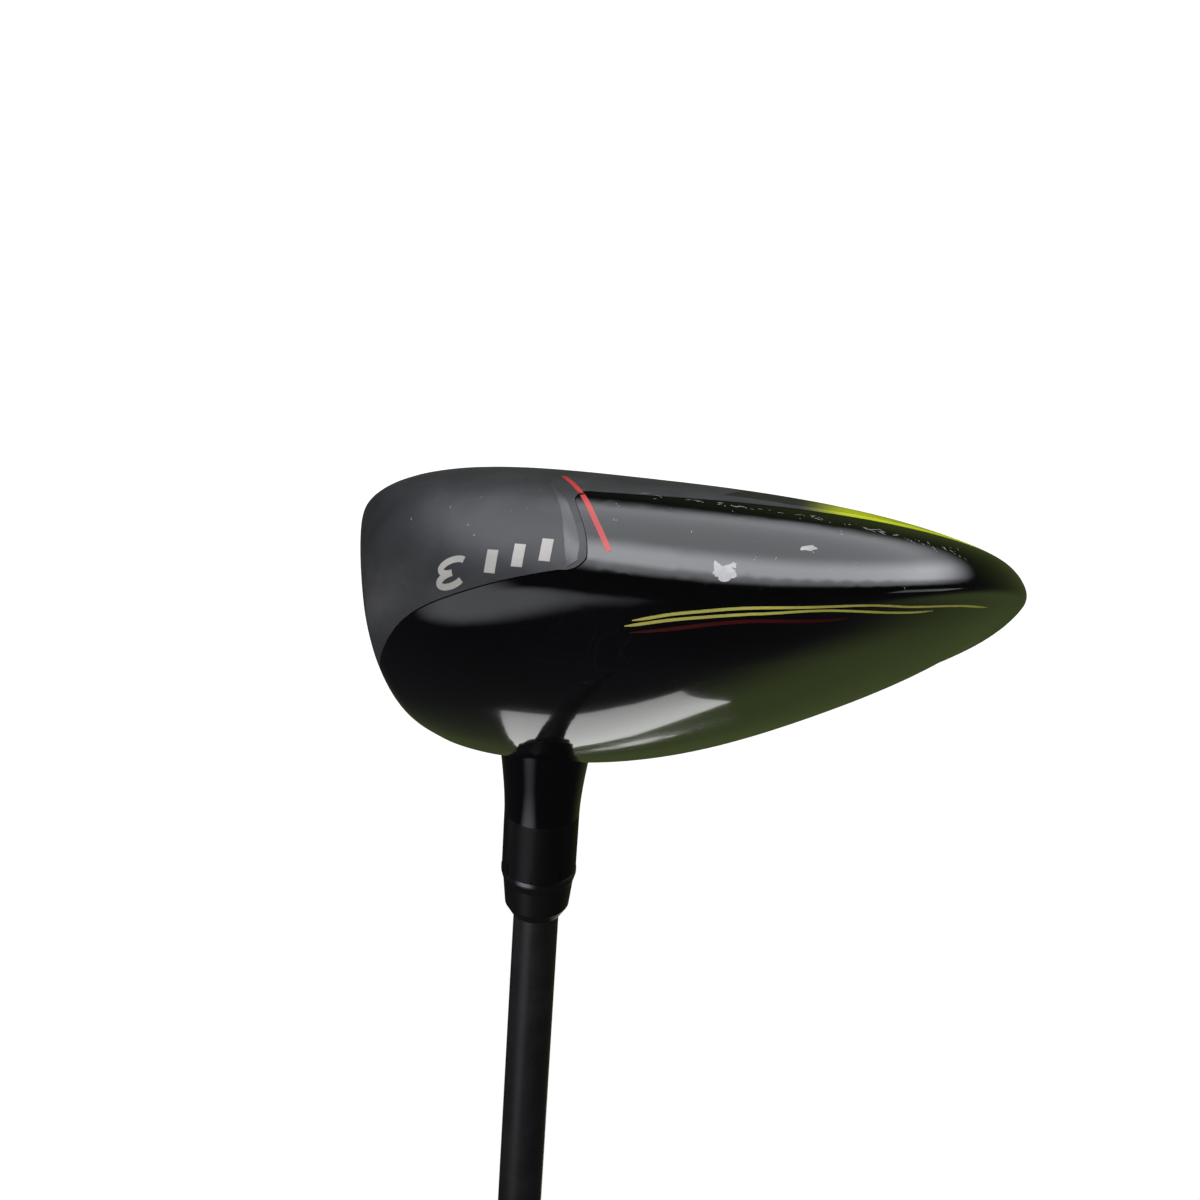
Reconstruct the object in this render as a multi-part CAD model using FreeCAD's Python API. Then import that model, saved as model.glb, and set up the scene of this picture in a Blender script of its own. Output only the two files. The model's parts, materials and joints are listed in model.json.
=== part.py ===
import FreeCAD, Part
import math
import os

# A 3 wood (fairway wood) with a bolted, adjustable shaft. Sizes are in millimetres.
# Frame: origin on the ground under the middle of the head, in the shaft's plane.
# +Z is up, -Y is towards the target (the face), +X is towards the heel and the player.

# Club
LIE_DEG = 57.5
LOFT_DEG = 15.0
CLUB_LENGTH = 1092.0
SHAFT_FOOT_X = 33.0

# Head outline in plan: from the widest line's centre to the toe, heel, front and back
CENTRE_Y = 20.5
TOE_REACH = 50.7
HEEL_REACH = 49.9
FRONT_REACH = 38.4
BACK_REACH = 51.6
PLAN_POWER_FRONT = 3.1
PLAN_POWER_BACK = 2.29

# Head section: heights of the widest line, and how full the crown and sole are
CROWN_HEIGHT = 37.4
WIDE_Z_FRONT = 12.0
WIDE_Z_BACK = 8.5
WIDE_Z_TOE = 20.4
WIDE_Z_HEEL = 16.6
CROWN_PEAK_Y = 5.3
SOLE_LOW_Y = 19.8
CROWN_FRONT_POWERS = (2.15, 3.49)
CROWN_BACK_POWERS = (1.78, 1.15)
SOLE_FRONT_POWERS = (2.09, 2.17)
SOLE_BACK_POWERS = (1.88, 2.18)

# Face
LEADING_EDGE_Y = -19.7
FACE_MID_Z = 19.0
FACE_RADIUS = 280.0
FACE_WALL = 3.0
FACE_EDGE_R = 3.5
PLATE_THICKNESS = 2.2
PLATE_HALF_WIDTH = 33.0
PLATE_HALF_HEIGHT = 10.0
PLATE_POWER = 2.4
SCORE_LINES = 5
SCORE_PITCH = 3.6
SCORE_WIDTH = 0.8
SCORE_DEPTH = 0.35
SCORE_HALF_LENGTH = 24.0

# Walls, joints and clearances
WALL = 2.0
CROWN_THICKNESS = 1.0
BOND = 0.08
JOINT_GAP = 0.12
WELD_GAP = 0.02
LEDGE = 6.0
PANEL_THICKNESS = 0.8
PANEL_GAP = 0.1
RAIL_HEIGHT = 0.5
RAIL_WIDTH = 4.0
RAIL_X = 22.0
RAIL_FRONT_Y = -10.0
RAIL_LENGTH = 20.0
PAD_HALF_WIDTH = 10.0
PAD_FRONT_Y = -6.0
PAD_BACK_Y = 36.0
PAD_THICKNESS = 1.5
PAD_CORNER_R = 3.0

# Hosel, along the shaft's axis from the ground
HOSEL_TOP = 50.1
HOSEL_BASE = 9.6
HOSEL_BORE_R = 6.0
HOSEL_WALL = 1.15
HOSEL_FLARE = 2.05
SHELF_BOTTOM = 14.0
SHELF_TOP = 16.0
SHELF_HOLE_CLEARANCE = 0.35
SOCKET_WALL = 2.3
NOTCHES = 8
NOTCH_DEPTH = 3.5
NOTCH_REACH = 0.65

# Shaft adapter and ferrule
RUNNING_FIT = 0.05
INSERT_LENGTH = 31.0
INSERT_CHAMFER = 0.6
COLLAR_LENGTH = 12.8
TANGS = 4
TANG_WIDTH = 2.4
TANG_CLEARANCE = 0.1
TANG_ROOT = 1.0
TIP_SOCKET_DEPTH = 31.3
RING_THICKNESS = 0.8
RING_PROUD = 0.1
TICKS = 8
TICK_LENGTH = 2.4
TICK_WIDTH = 0.5
TICK_DEPTH = 0.15
FERRULE_LENGTH = 9.2

# Hosel bolt (M5)
THREAD_R = 2.5
THREAD_CLEARANCE = 0.06
THREAD_PITCH = 0.8
THREAD_GROOVE = 0.3
BOLT_LENGTH = 15.5
BOLT_HEAD_R = 4.25
BOLT_HEAD_HEIGHT = 3.1
HEAD_RECESS_CLEARANCE = 0.55
BOLT_PORT_CLEARANCE = 0.4
STAR_R = 2.0
STAR_DEPTH = 2.2
WASHER_THICKNESS = 0.8
WASHER_CLEARANCE = 0.2
HEAD_GAP = 0.05
RETAINER_R = 4.2
RETAINER_THICKNESS = 1.0
RETAINER_GAP = 0.3

# Shaft and grip
TIP_DIAMETER = 8.84
SHAFT_TAPER = 0.0065
TIP_WALL = 1.6
BUTT_WALL = 1.1
EPOXY_GAP = 0.08
GRIP_LENGTH = 268.0
GRIP_MOUTH_R = 8.9
GRIP_CAP_R = 13.4
GRIP_CAP_THICKNESS = 4.0
TAPE_THICKNESS = 0.2
VENT_R = 1.2
PLUG_LENGTH = 14.0
PLUG_SINK = 1.0
TAPE_END_GAP = 3.0
TAPE_CLEARANCE = 0.05

# Rear swing weight
WEIGHT_FROM_BACK = 18.1
WEIGHT_TILT_DEG = 11.0
WEIGHT_R = 8.0
WEIGHT_THICKNESS = 5.5
WEIGHT_CHAMFER = 0.5
WEIGHT_SINK = 0.4
PORT_CLEARANCE = 0.1
PORT_WALL = 3.0
PORT_DEPTH = 11.5
WEIGHT_SCREW_HEAD_R = 4.4
WEIGHT_SCREW_HEAD = 2.2
WEIGHT_SCREW_SINK = 0.3
WEIGHT_SCREW_LENGTH = 9.0
WEIGHT_SCREW_NECK = 0.4
WEIGHT_STAR_DEPTH = 1.7
WEIGHT_HOLE_CLEARANCE = 0.15
WEIGHT_RECESS_CLEARANCE = 0.2
WEIGHT_WASHER_THICKNESS = 0.4
THREAD_END_SPACE = 0.6

# Front weight and its seat
FRONT_WEIGHT_LENGTH = 44.0
FRONT_WEIGHT_WIDTH = 8.0
FRONT_WEIGHT_HEIGHT = 7.5
FRONT_WEIGHT_CORNER_R = 2.5
FRONT_WEIGHT_Y = -1.5
FRONT_SEAT_Z = 6.2
FRONT_SEAT_LIP = 2.0

# Hot melt, poured in to set the head's mass
MELT_X = -24.0
MELT_Y = 22.0
MELT_R = 9.0
MELT_TOP = 6.0

# Rear sole panel
PANEL_AHEAD_OF_WEIGHT = 13.0
PANEL_SHARE = 0.9
PANEL_FRONT_R = 90.0
PANEL_DROP = 5.0
PANEL_RIM = 0.9

RINGS_UP = (0.97, 0.87, 0.75, 0.63, 0.51, 0.39, 0.27, 0.15)
RINGS_DOWN = (0.15, 0.27, 0.39, 0.51, 0.63, 0.75, 0.87, 0.96)
RING_POINTS = 36

# Worked out from the values above
LOFT = math.radians(LOFT_DEG)
HOSEL_OUTER_R = HOSEL_BORE_R + HOSEL_WALL
HEAD_RECESS_R = BOLT_HEAD_R + HEAD_RECESS_CLEARANCE
BOLT_PORT_R = HEAD_RECESS_R + BOLT_PORT_CLEARANCE
WEIGHT_Y = CENTRE_Y + BACK_REACH - WEIGHT_FROM_BACK
PANEL_FRONT_Y = WEIGHT_Y - PANEL_AHEAD_OF_WEIGHT
BEYOND = 25.0


def vec(x, y, z):
    return FreeCAD.Vector(x, y, z)


def mix(a, b, share):
    return a + (b - a) * share


def signed_power(value, power):
    return math.copysign(abs(value) ** power, value)


# ---------------------------------------------------------------- head skin

def station_angle(turn):
    """The outline's angle at an even turn, so that the ring's points lie evenly."""
    even = (PLAN_POWER_FRONT + PLAN_POWER_BACK) / 4
    across = signed_power(math.sin(turn), even)
    along = signed_power(math.cos(turn), even)
    return math.atan2(across, along)


def skin_point(turn, level):
    """The uncut skin: level -1 is under the sole, 0 the widest line, 1 the crown's peak."""
    angle = station_angle(turn)
    cos_a = math.cos(angle)
    sin_a = math.sin(angle)
    lean = (1 + sin_a) / 2
    back = lean * lean * (3 - 2 * lean)
    power = mix(PLAN_POWER_FRONT, PLAN_POWER_BACK, back)
    reach_x = HEEL_REACH if cos_a > 0 else TOE_REACH
    reach_y = BACK_REACH if sin_a > 0 else FRONT_REACH
    edge_x = reach_x * signed_power(cos_a, 2 / power)
    edge_y = reach_y * signed_power(sin_a, 2 / power)
    side = cos_a * cos_a
    end_z = WIDE_Z_BACK if sin_a > 0 else WIDE_Z_FRONT
    side_z = WIDE_Z_HEEL if cos_a > 0 else WIDE_Z_TOE
    wide_z = mix(end_z, side_z, side)
    upper = level >= 0
    front = CROWN_FRONT_POWERS if upper else SOLE_FRONT_POWERS
    rear = CROWN_BACK_POWERS if upper else SOLE_BACK_POWERS
    tilt = abs(level) * math.pi / 2
    shrink = math.cos(tilt) ** (2 / mix(front[0], rear[0], back))
    rise = math.sin(tilt) ** (2 / mix(front[1], rear[1], back))
    pole_y = CROWN_PEAK_Y if upper else SOLE_LOW_Y
    z = mix(wide_z, CROWN_HEIGHT, rise) if upper else wide_z * (1 - rise)
    y = CENTRE_Y + (pole_y - CENTRE_Y) * (1 - shrink * shrink) + shrink * edge_y
    return vec(shrink * edge_x, y, z)


def inset_point(turn, level, inset):
    step = 0.01
    along = skin_point(turn + step, level) - skin_point(turn - step, level)
    up = skin_point(turn, level + step) - skin_point(turn, level - step)
    normal = along.cross(up)
    normal.normalize()
    return skin_point(turn, level) - normal * inset


def ring_wire(level, inset, flat):
    turns = [2 * math.pi * i / RING_POINTS for i in range(RING_POINTS)]
    points = [inset_point(turn, level, inset) for turn in turns]
    if flat:
        height = sum(p.z for p in points) / len(points)
        points = [vec(p.x, p.y, height) for p in points]
    curve = Part.BSplineCurve()
    knots = [float(i) for i in range(RING_POINTS + 1)]
    curve.interpolate(Points=points, PeriodicFlag=True, Parameters=knots)
    return Part.Wire([curve.toShape()])


SKINS = {}


def skin(inset):
    """The whole uncut skin as a solid, moved in by inset."""
    if inset not in SKINS:
        levels = list(RINGS_UP) + [0.0] + [-level for level in RINGS_DOWN]
        ends = (levels[0], levels[-1])
        wires = [ring_wire(level, inset, level in ends) for level in levels]
        SKINS[inset] = Part.makeLoft(wires, True, False)
    return SKINS[inset]


def face_normal():
    return vec(0, -math.cos(LOFT), math.sin(LOFT))


def face_middle():
    return vec(0, LEADING_EDGE_Y + FACE_MID_Z * math.tan(LOFT), FACE_MID_Z)


def face_ball(inset):
    """The large sphere whose surface is the bulge and roll of the face."""
    centre = face_middle() - face_normal() * FACE_RADIUS
    return Part.makeSphere(FACE_RADIUS - inset, centre)


def head_solid(inset, face_inset, edge_r=0):
    """The head's form with its face cut, moved in, with the face's edge rounded to edge_r."""
    form = skin(inset).common(face_ball(face_inset))
    if edge_r:
        edges = [edge for face in form.Faces if isinstance(face.Surface, Part.Sphere) for edge in face.Edges]
        form = form.makeFillet(edge_r, edges)
    return form


# ------------------------------------------------------------ crown opening

def crown_region(shift_y, shift_z):
    """Everything above and behind the joint line between the body and the crown shell."""
    top = CROWN_HEIGHT + BEYOND
    rear = CENTRE_Y + BACK_REACH + BEYOND
    width = TOE_REACH + HEEL_REACH + 2 * BEYOND
    front_line = [(-10.4, 36.5), (-9.2, 33.4), (-6.5, 30.2), (-3.2, 27.6), (2.5, 25.2), (9.0, 23.1),
                  (14.5, 21.6)]
    heel_line = [(17.3, 19.9), (17.0, 18.0), (15.6, 14.6), (14.6, 12.6)]
    skirt_start = (16.6, 10.9)
    skirt_end = (rear, 5.3)

    def at(point):
        return vec(-TOE_REACH - BEYOND, point[0] + shift_y, point[1] + shift_z)

    def line(a, b):
        return Part.LineSegment(at(a), at(b)).toShape()

    def curve(points):
        spline = Part.BSplineCurve()
        spline.interpolate(Points=[at(p) for p in points])
        return spline.toShape()

    edges = [
        line((front_line[0][0], top), front_line[0]),
        curve(front_line),
        curve([front_line[-1], (16.6, 20.9), heel_line[0]]),
        curve(heel_line),
        curve([heel_line[-1], (14.9, 11.4), skirt_start]),
        line(skirt_start, skirt_end),
        line(skirt_end, (rear, top)),
        line((rear, top), (front_line[0][0], top)),
    ]
    return Part.Face(Part.Wire(edges)).extrude(vec(width, 0, 0))


# ------------------------------------------------------------- shaft's frame

def on_shaft(shape):
    """Turns a shape built along +Z onto the shaft's axis; z 0 is where the axis meets the ground."""
    shape = shape.copy()
    shape.rotate(vec(0, 0, 0), vec(0, 1, 0), 90 - LIE_DEG)
    shape.translate(vec(SHAFT_FOOT_X, 0, 0))
    return shape


def turned(profile):
    """A solid turned about +Z from its (radius, height) corners."""
    corners = [vec(r, 0, z) for r, z in profile]
    outline = Part.makePolygon(corners + [corners[0]])
    return Part.Face(outline).revolve(vec(0, 0, 0), vec(0, 0, 1), 360)


def rod(radius, low, high):
    return Part.makeCylinder(radius, high - low, vec(0, 0, low))


def tube(outer, inner, low, high):
    return rod(outer, low, high).cut(rod(inner, low - 1, high + 1))


def star(radius, low, high):
    """A six-lobed driver socket."""
    lobe = radius * 0.32
    shape = rod(radius * 0.8, low, high)
    for i in range(6):
        angle = math.radians(60 * i)
        spot = vec((radius - lobe) * math.cos(angle), (radius - lobe) * math.sin(angle), low)
        shape = shape.fuse(Part.makeCylinder(lobe, high - low, spot))
    return shape.removeSplitter()


def spokes(count, width, inner, outer, low, high):
    """Blocks set round the axis like spokes."""
    blocks = []
    for i in range(count):
        block = Part.makeBox(outer - inner, width, high - low, vec(inner, -width / 2, low))
        block.rotate(vec(0, 0, 0), vec(0, 0, 1), 360 * i / count)
        blocks.append(block)
    return Part.makeCompound(blocks)


def hosel_outline(extra):
    """The hosel's outside: straight in the head, flared where it meets the crown."""
    reach = HOSEL_TOP - HOSEL_BASE
    shares = [(0.16, 0.0), (0.26, 0.68), (0.40, 1.0), (0.50, 1.0), (0.60, 0.8), (0.70, 0.55), (0.80, 0.3),
              (0.90, 0.1), (1.0, 0.0)]
    points = [(HOSEL_OUTER_R + HOSEL_FLARE * share + extra, HOSEL_BASE + reach * part) for part, share in shares]
    curve = Part.BSplineCurve()
    curve.interpolate(Points=[vec(r, 0, z) for r, z in points])
    side = curve.toShape()
    low_r, low_z = points[0]
    top_r, top_z = points[-1]
    base_z = HOSEL_BASE
    corners = [
        vec(top_r, 0, top_z),
        vec(0, 0, top_z),
        vec(0, 0, base_z),
        vec(low_r, 0, base_z),
        vec(low_r, 0, low_z),
    ]
    rest = [Part.LineSegment(a, b).toShape() for a, b in zip(corners, corners[1:])]
    return Part.Face(Part.Wire([side] + rest)).revolve(vec(0, 0, 0), vec(0, 0, 1), 360)


# --------------------------------------------------------------- rear weight

def sole_height(y):
    """Height of the sole's skin on the head's middle line behind its lowest point."""
    low, high = -1.0, 0.0
    for _ in range(40):
        level = (low + high) / 2
        if skin_point(math.pi / 2, level).y < y:
            low = level
        else:
            high = level
    return skin_point(math.pi / 2, low).z


def on_port(shape):
    """Turns a shape built along +Z onto the port's axis; z 0 is on the sole and +Z points out."""
    shape = shape.copy()
    shape.rotate(vec(0, 0, 0), vec(1, 0, 0), 180 + WEIGHT_TILT_DEG)
    shape.translate(vec(0, WEIGHT_Y, sole_height(WEIGHT_Y)))
    return shape


WEIGHT_TOP = -WEIGHT_SINK
WEIGHT_FLOOR = WEIGHT_TOP - WEIGHT_THICKNESS
WEIGHT_SEAT = WEIGHT_TOP - WEIGHT_SCREW_SINK - WEIGHT_SCREW_HEAD - WEIGHT_WASHER_THICKNESS
WASHER_TOP = WEIGHT_SEAT + WEIGHT_WASHER_THICKNESS
SCREW_SEAT = WASHER_TOP + HEAD_GAP
THREAD_TOP = WEIGHT_FLOOR - WEIGHT_SCREW_NECK
SCREW_END = SCREW_SEAT - WEIGHT_SCREW_LENGTH


def make_rear_weight():
    cup = rod(WEIGHT_R, WEIGHT_FLOOR, WEIGHT_TOP)
    rim = [edge for edge in cup.Edges if edge.BoundBox.ZMin > WEIGHT_TOP - 0.01]
    cup = cup.makeChamfer(WEIGHT_CHAMFER, rim)
    cup = cup.cut(rod(WEIGHT_SCREW_HEAD_R + WEIGHT_RECESS_CLEARANCE, WEIGHT_SEAT, 1))
    cup = cup.cut(rod(THREAD_R + WEIGHT_HOLE_CLEARANCE, WEIGHT_FLOOR - 1, WEIGHT_SEAT + 1))
    return on_port(cup)


def make_weight_washer():
    return on_port(tube(WEIGHT_SCREW_HEAD_R, THREAD_R + WEIGHT_HOLE_CLEARANCE, WEIGHT_SEAT, WASHER_TOP))


def threaded(low, high):
    """A thread drawn as ring grooves."""
    shape = rod(THREAD_R, low, high)
    turns = int((high - low) / THREAD_PITCH) - 1
    for i in range(turns):
        z = low + THREAD_PITCH * (i + 0.75)
        groove = tube(THREAD_R + 1, THREAD_R - THREAD_GROOVE, z, z + THREAD_PITCH / 2)
        shape = shape.cut(groove)
    return shape


def make_rear_weight_screw():
    head = rod(WEIGHT_SCREW_HEAD_R, SCREW_SEAT, SCREW_SEAT + WEIGHT_SCREW_HEAD)
    head = head.cut(star(STAR_R, SCREW_SEAT + WEIGHT_SCREW_HEAD - WEIGHT_STAR_DEPTH, 1))
    shank = threaded(SCREW_END, THREAD_TOP)
    neck = rod(THREAD_R, THREAD_TOP, SCREW_SEAT)
    return on_port(head.fuse([neck, shank]).removeSplitter())


def port_boss():
    return on_port(rod(WEIGHT_R + PORT_WALL, -PORT_DEPTH, PANEL_DROP))


def port_bore():
    pocket = rod(WEIGHT_R + PORT_CLEARANCE, WEIGHT_FLOOR, PANEL_DROP)
    thread = rod(THREAD_R + THREAD_CLEARANCE, SCREW_END - THREAD_END_SPACE, WEIGHT_FLOOR + 1)
    return on_port(pocket.fuse(thread))


# --------------------------------------------------------------------- face

def plate_prism(extra):
    """A block through the face with the insert's rounded outline."""
    points = []
    count = 48
    for i in range(count):
        turn = 2 * math.pi * i / count
        across = (PLATE_HALF_WIDTH + extra) * signed_power(math.cos(turn), 2 / PLATE_POWER)
        up = (PLATE_HALF_HEIGHT + extra) * signed_power(math.sin(turn), 2 / PLATE_POWER)
        points.append(vec(across, 0, up))
    curve = Part.BSplineCurve()
    curve.interpolate(Points=points, PeriodicFlag=True)
    block = Part.Face(Part.Wire([curve.toShape()])).extrude(vec(0, 24, 0))
    block.translate(vec(0, -10, 0))
    block.rotate(vec(0, 0, 0), vec(1, 0, 0), -LOFT_DEG)
    block.translate(face_middle())
    return block


def make_face_plate():
    plate = plate_prism(0).common(face_ball(0)).cut(face_ball(PLATE_THICKNESS))
    for i in range(SCORE_LINES):
        height = SCORE_PITCH * (i - (SCORE_LINES - 1) / 2)
        bar = Part.makeBox(2 * SCORE_HALF_LENGTH, 12, SCORE_WIDTH,
                           vec(-SCORE_HALF_LENGTH, -6, height - SCORE_WIDTH / 2))
        bar.rotate(vec(0, 0, 0), vec(1, 0, 0), -LOFT_DEG)
        bar.translate(face_middle())
        plate = plate.cut(bar.cut(face_ball(SCORE_DEPTH)))
    return plate


# --------------------------------------------------------------------- head

def panel_prism(gap):
    """An upright block with the sole panel's outline: the widest line drawn in, an arc in front, below the joint."""
    points = []
    count = 36
    for i in range(count):
        edge = skin_point(2 * math.pi * i / count, 0)
        spoke = vec(edge.x, edge.y - CENTRE_Y, 0)
        drawn = spoke * (PANEL_SHARE - gap / spoke.Length)
        points.append(vec(drawn.x, CENTRE_Y + drawn.y, -PANEL_DROP))
    curve = Part.BSplineCurve()
    curve.interpolate(Points=points, PeriodicFlag=True)
    height = WIDE_Z_BACK + PANEL_DROP
    block = Part.Face(Part.Wire([curve.toShape()])).extrude(vec(0, 0, height))
    front = vec(0, PANEL_FRONT_Y - PANEL_FRONT_R, -PANEL_DROP)
    block = block.cut(Part.makeCylinder(PANEL_FRONT_R + gap, height, front))
    return block.cut(crown_region(0, -PANEL_RIM - gap))


def rail(x):
    low = vec(x - RAIL_WIDTH / 2, RAIL_FRONT_Y, -PANEL_DROP)
    strip = Part.makeBox(RAIL_WIDTH, RAIL_LENGTH, WIDE_Z_BACK + PANEL_DROP, low)
    return strip.common(skin(-RAIL_HEIGHT)).cut(skin(WALL / 2))


def rest_pad():
    width = 2 * PAD_HALF_WIDTH
    length = PAD_BACK_Y - PAD_FRONT_Y
    pad = Part.makeBox(width, length, PAD_THICKNESS, vec(-PAD_HALF_WIDTH, PAD_FRONT_Y, 0))
    upright = [edge for edge in pad.Edges if edge.BoundBox.ZLength > PAD_THICKNESS / 2]
    return pad.makeFillet(PAD_CORNER_R, upright)


def make_head_body(outer, lapped, region):
    inner = head_solid(WALL, FACE_WALL)
    body = outer.cut(inner)
    body = body.cut(region.cut(lapped))
    body = body.cut(crown_region(LEDGE, LEDGE * 0.75))
    seat_length = FRONT_WEIGHT_LENGTH + 2 * FRONT_SEAT_LIP
    seat_width = FRONT_WEIGHT_WIDTH + 2 * FRONT_SEAT_LIP
    seat_corner = vec(-seat_length / 2, FRONT_WEIGHT_Y - seat_width / 2, 0)
    seat = Part.makeBox(seat_length, seat_width, FRONT_SEAT_Z, seat_corner)
    socket = on_shaft(rod(HOSEL_OUTER_R + SOCKET_WALL, 0, SHELF_TOP + SOCKET_WALL))
    for boss in (seat, socket, port_boss()):
        body = body.fuse(boss.common(lapped))
    body = body.fuse([rail(-RAIL_X), rail(RAIL_X), rest_pad()])
    body = body.cut(plate_prism(WELD_GAP).cut(face_ball(2 * FACE_WALL)))
    body = body.cut(on_shaft(hosel_outline(WELD_GAP)))
    body = body.cut(on_shaft(rod(BOLT_PORT_R, -BEYOND, HOSEL_BASE + 1)))
    body = body.cut(port_bore())
    body = body.cut(panel_prism(0).cut(skin(PANEL_THICKNESS + BOND)))
    return body


def make_crown_shell(outer):
    shell = outer.common(crown_region(JOINT_GAP, JOINT_GAP))
    shell = shell.cut(head_solid(CROWN_THICKNESS, CROWN_THICKNESS, FACE_EDGE_R - CROWN_THICKNESS))
    return shell.cut(on_shaft(hosel_outline(JOINT_GAP)))


def make_sole_panel(outer):
    panel = panel_prism(PANEL_GAP).common(outer).cut(skin(PANEL_THICKNESS))
    return panel.cut(on_port(rod(WEIGHT_R + PORT_WALL / 2, -PORT_DEPTH, PANEL_DROP)))


def make_front_weight():
    low = vec(-FRONT_WEIGHT_LENGTH / 2, FRONT_WEIGHT_Y - FRONT_WEIGHT_WIDTH / 2, FRONT_SEAT_Z)
    bar = Part.makeBox(FRONT_WEIGHT_LENGTH, FRONT_WEIGHT_WIDTH, FRONT_WEIGHT_HEIGHT, low)
    upright = [edge for edge in bar.Edges if edge.BoundBox.ZLength > FRONT_WEIGHT_HEIGHT / 2]
    return bar.makeFillet(FRONT_WEIGHT_CORNER_R, upright)


def make_hot_melt_pad():
    blob = Part.makeCylinder(MELT_R, MELT_TOP, vec(MELT_X, MELT_Y, 0))
    return blob.common(head_solid(WALL + WELD_GAP, FACE_WALL + WELD_GAP))


# -------------------------------------------------------------------- hosel

def make_hosel_tube():
    body = hosel_outline(0)
    body = body.cut(rod(HOSEL_BORE_R, SHELF_TOP, HOSEL_TOP + 1))
    body = body.cut(rod(THREAD_R + SHELF_HOLE_CLEARANCE, HOSEL_BASE, SHELF_TOP + 1))
    body = body.cut(rod(HEAD_RECESS_R, HOSEL_BASE - 1, SHELF_BOTTOM))
    notch = spokes(NOTCHES, TANG_WIDTH + 2 * TANG_CLEARANCE, HOSEL_BORE_R - TANG_ROOT,
                   HOSEL_BORE_R + NOTCH_REACH, HOSEL_TOP - NOTCH_DEPTH, HOSEL_TOP + 1)
    return on_shaft(body.cut(notch))


def make_bolt_washer():
    return on_shaft(tube(BOLT_HEAD_R, THREAD_R + WASHER_CLEARANCE, SHELF_BOTTOM - WASHER_THICKNESS, SHELF_BOTTOM))


BOLT_HEAD_TOP = SHELF_BOTTOM - WASHER_THICKNESS - HEAD_GAP
RETAINER_LOW = SHELF_TOP + RETAINER_GAP
NECK_TOP = RETAINER_LOW + RETAINER_THICKNESS


def make_hosel_bolt():
    low = BOLT_HEAD_TOP - BOLT_HEAD_HEIGHT
    head = rod(BOLT_HEAD_R, low, BOLT_HEAD_TOP)
    head = head.cut(star(STAR_R, low - 1, low + STAR_DEPTH))
    neck = rod(THREAD_R, BOLT_HEAD_TOP, NECK_TOP)
    shank = threaded(NECK_TOP, BOLT_HEAD_TOP + BOLT_LENGTH)
    return on_shaft(head.fuse([neck, shank]).removeSplitter())


def make_bolt_retainer():
    return on_shaft(tube(RETAINER_R, THREAD_R, RETAINER_LOW, NECK_TOP))


# --------------------------------------------------------------------- shaft

COLLAR_TOP = HOSEL_TOP + COLLAR_LENGTH
INSERT_BOTTOM = HOSEL_TOP - INSERT_LENGTH
TIP_Z = COLLAR_TOP - TIP_SOCKET_DEPTH
FERRULE_TOP = COLLAR_TOP + FERRULE_LENGTH
TIP_R = TIP_DIAMETER / 2


def shaft_radius(z):
    return TIP_R + max(0.0, z - FERRULE_TOP) * SHAFT_TAPER / 2


def make_hosel_sleeve():
    insert = rod(HOSEL_BORE_R - RUNNING_FIT, INSERT_BOTTOM, HOSEL_TOP)
    foot = [edge for edge in insert.Edges if edge.BoundBox.ZMax < INSERT_BOTTOM + 0.01]
    insert = insert.makeChamfer(INSERT_CHAMFER, foot)
    collar = rod(HOSEL_OUTER_R, HOSEL_TOP, COLLAR_TOP - RING_THICKNESS)
    sleeve = insert.fuse(collar)
    tang_reach = HOSEL_BORE_R + NOTCH_REACH - TANG_CLEARANCE
    tang_low = HOSEL_TOP - NOTCH_DEPTH + TANG_CLEARANCE
    tangs = spokes(TANGS, TANG_WIDTH, HOSEL_BORE_R - TANG_ROOT, tang_reach, tang_low, HOSEL_TOP)
    for tang in tangs.Solids:
        sleeve = sleeve.fuse(tang)
    sleeve = sleeve.removeSplitter()
    sleeve = sleeve.cut(rod(TIP_R + EPOXY_GAP, TIP_Z, COLLAR_TOP))
    sleeve = sleeve.cut(rod(THREAD_R + THREAD_CLEARANCE, INSERT_BOTTOM - 1, TIP_Z + 1))
    tick_high = COLLAR_TOP - RING_THICKNESS - TICK_DEPTH
    tick_low = tick_high - TICK_LENGTH
    ticks = spokes(TICKS, TICK_WIDTH, HOSEL_OUTER_R - TICK_DEPTH, HOSEL_OUTER_R + 1, tick_low, tick_high)
    return on_shaft(sleeve.cut(ticks))


def make_sleeve_ring():
    return on_shaft(tube(HOSEL_OUTER_R + RING_PROUD, TIP_R + EPOXY_GAP, COLLAR_TOP - RING_THICKNESS, COLLAR_TOP))


def make_ferrule():
    length = FERRULE_LENGTH
    bore = TIP_R + EPOXY_GAP
    wall = HOSEL_OUTER_R - bore
    profile = [
        (bore, COLLAR_TOP),
        (HOSEL_OUTER_R, COLLAR_TOP),
        (HOSEL_OUTER_R, COLLAR_TOP + length * 0.04),
        (bore + wall * 0.85, COLLAR_TOP + length * 0.2),
        (bore + wall * 0.65, COLLAR_TOP + length * 0.77),
        (bore + wall * 0.17, COLLAR_TOP + length),
        (bore, COLLAR_TOP + length),
    ]
    return on_shaft(turned(profile))


def make_shaft_tube():
    butt = CLUB_LENGTH - GRIP_CAP_THICKNESS
    profile = [
        (shaft_radius(TIP_Z), TIP_Z),
        (shaft_radius(FERRULE_TOP), FERRULE_TOP),
        (shaft_radius(butt), butt),
        (shaft_radius(butt) - BUTT_WALL, butt),
        (shaft_radius(FERRULE_TOP) - TIP_WALL, FERRULE_TOP),
        (shaft_radius(TIP_Z) - TIP_WALL, TIP_Z),
    ]
    return on_shaft(turned(profile))


def make_tip_plug():
    low = TIP_Z + PLUG_SINK
    return on_shaft(rod(TIP_R - TIP_WALL - EPOXY_GAP / 2, low, low + PLUG_LENGTH))


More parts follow.
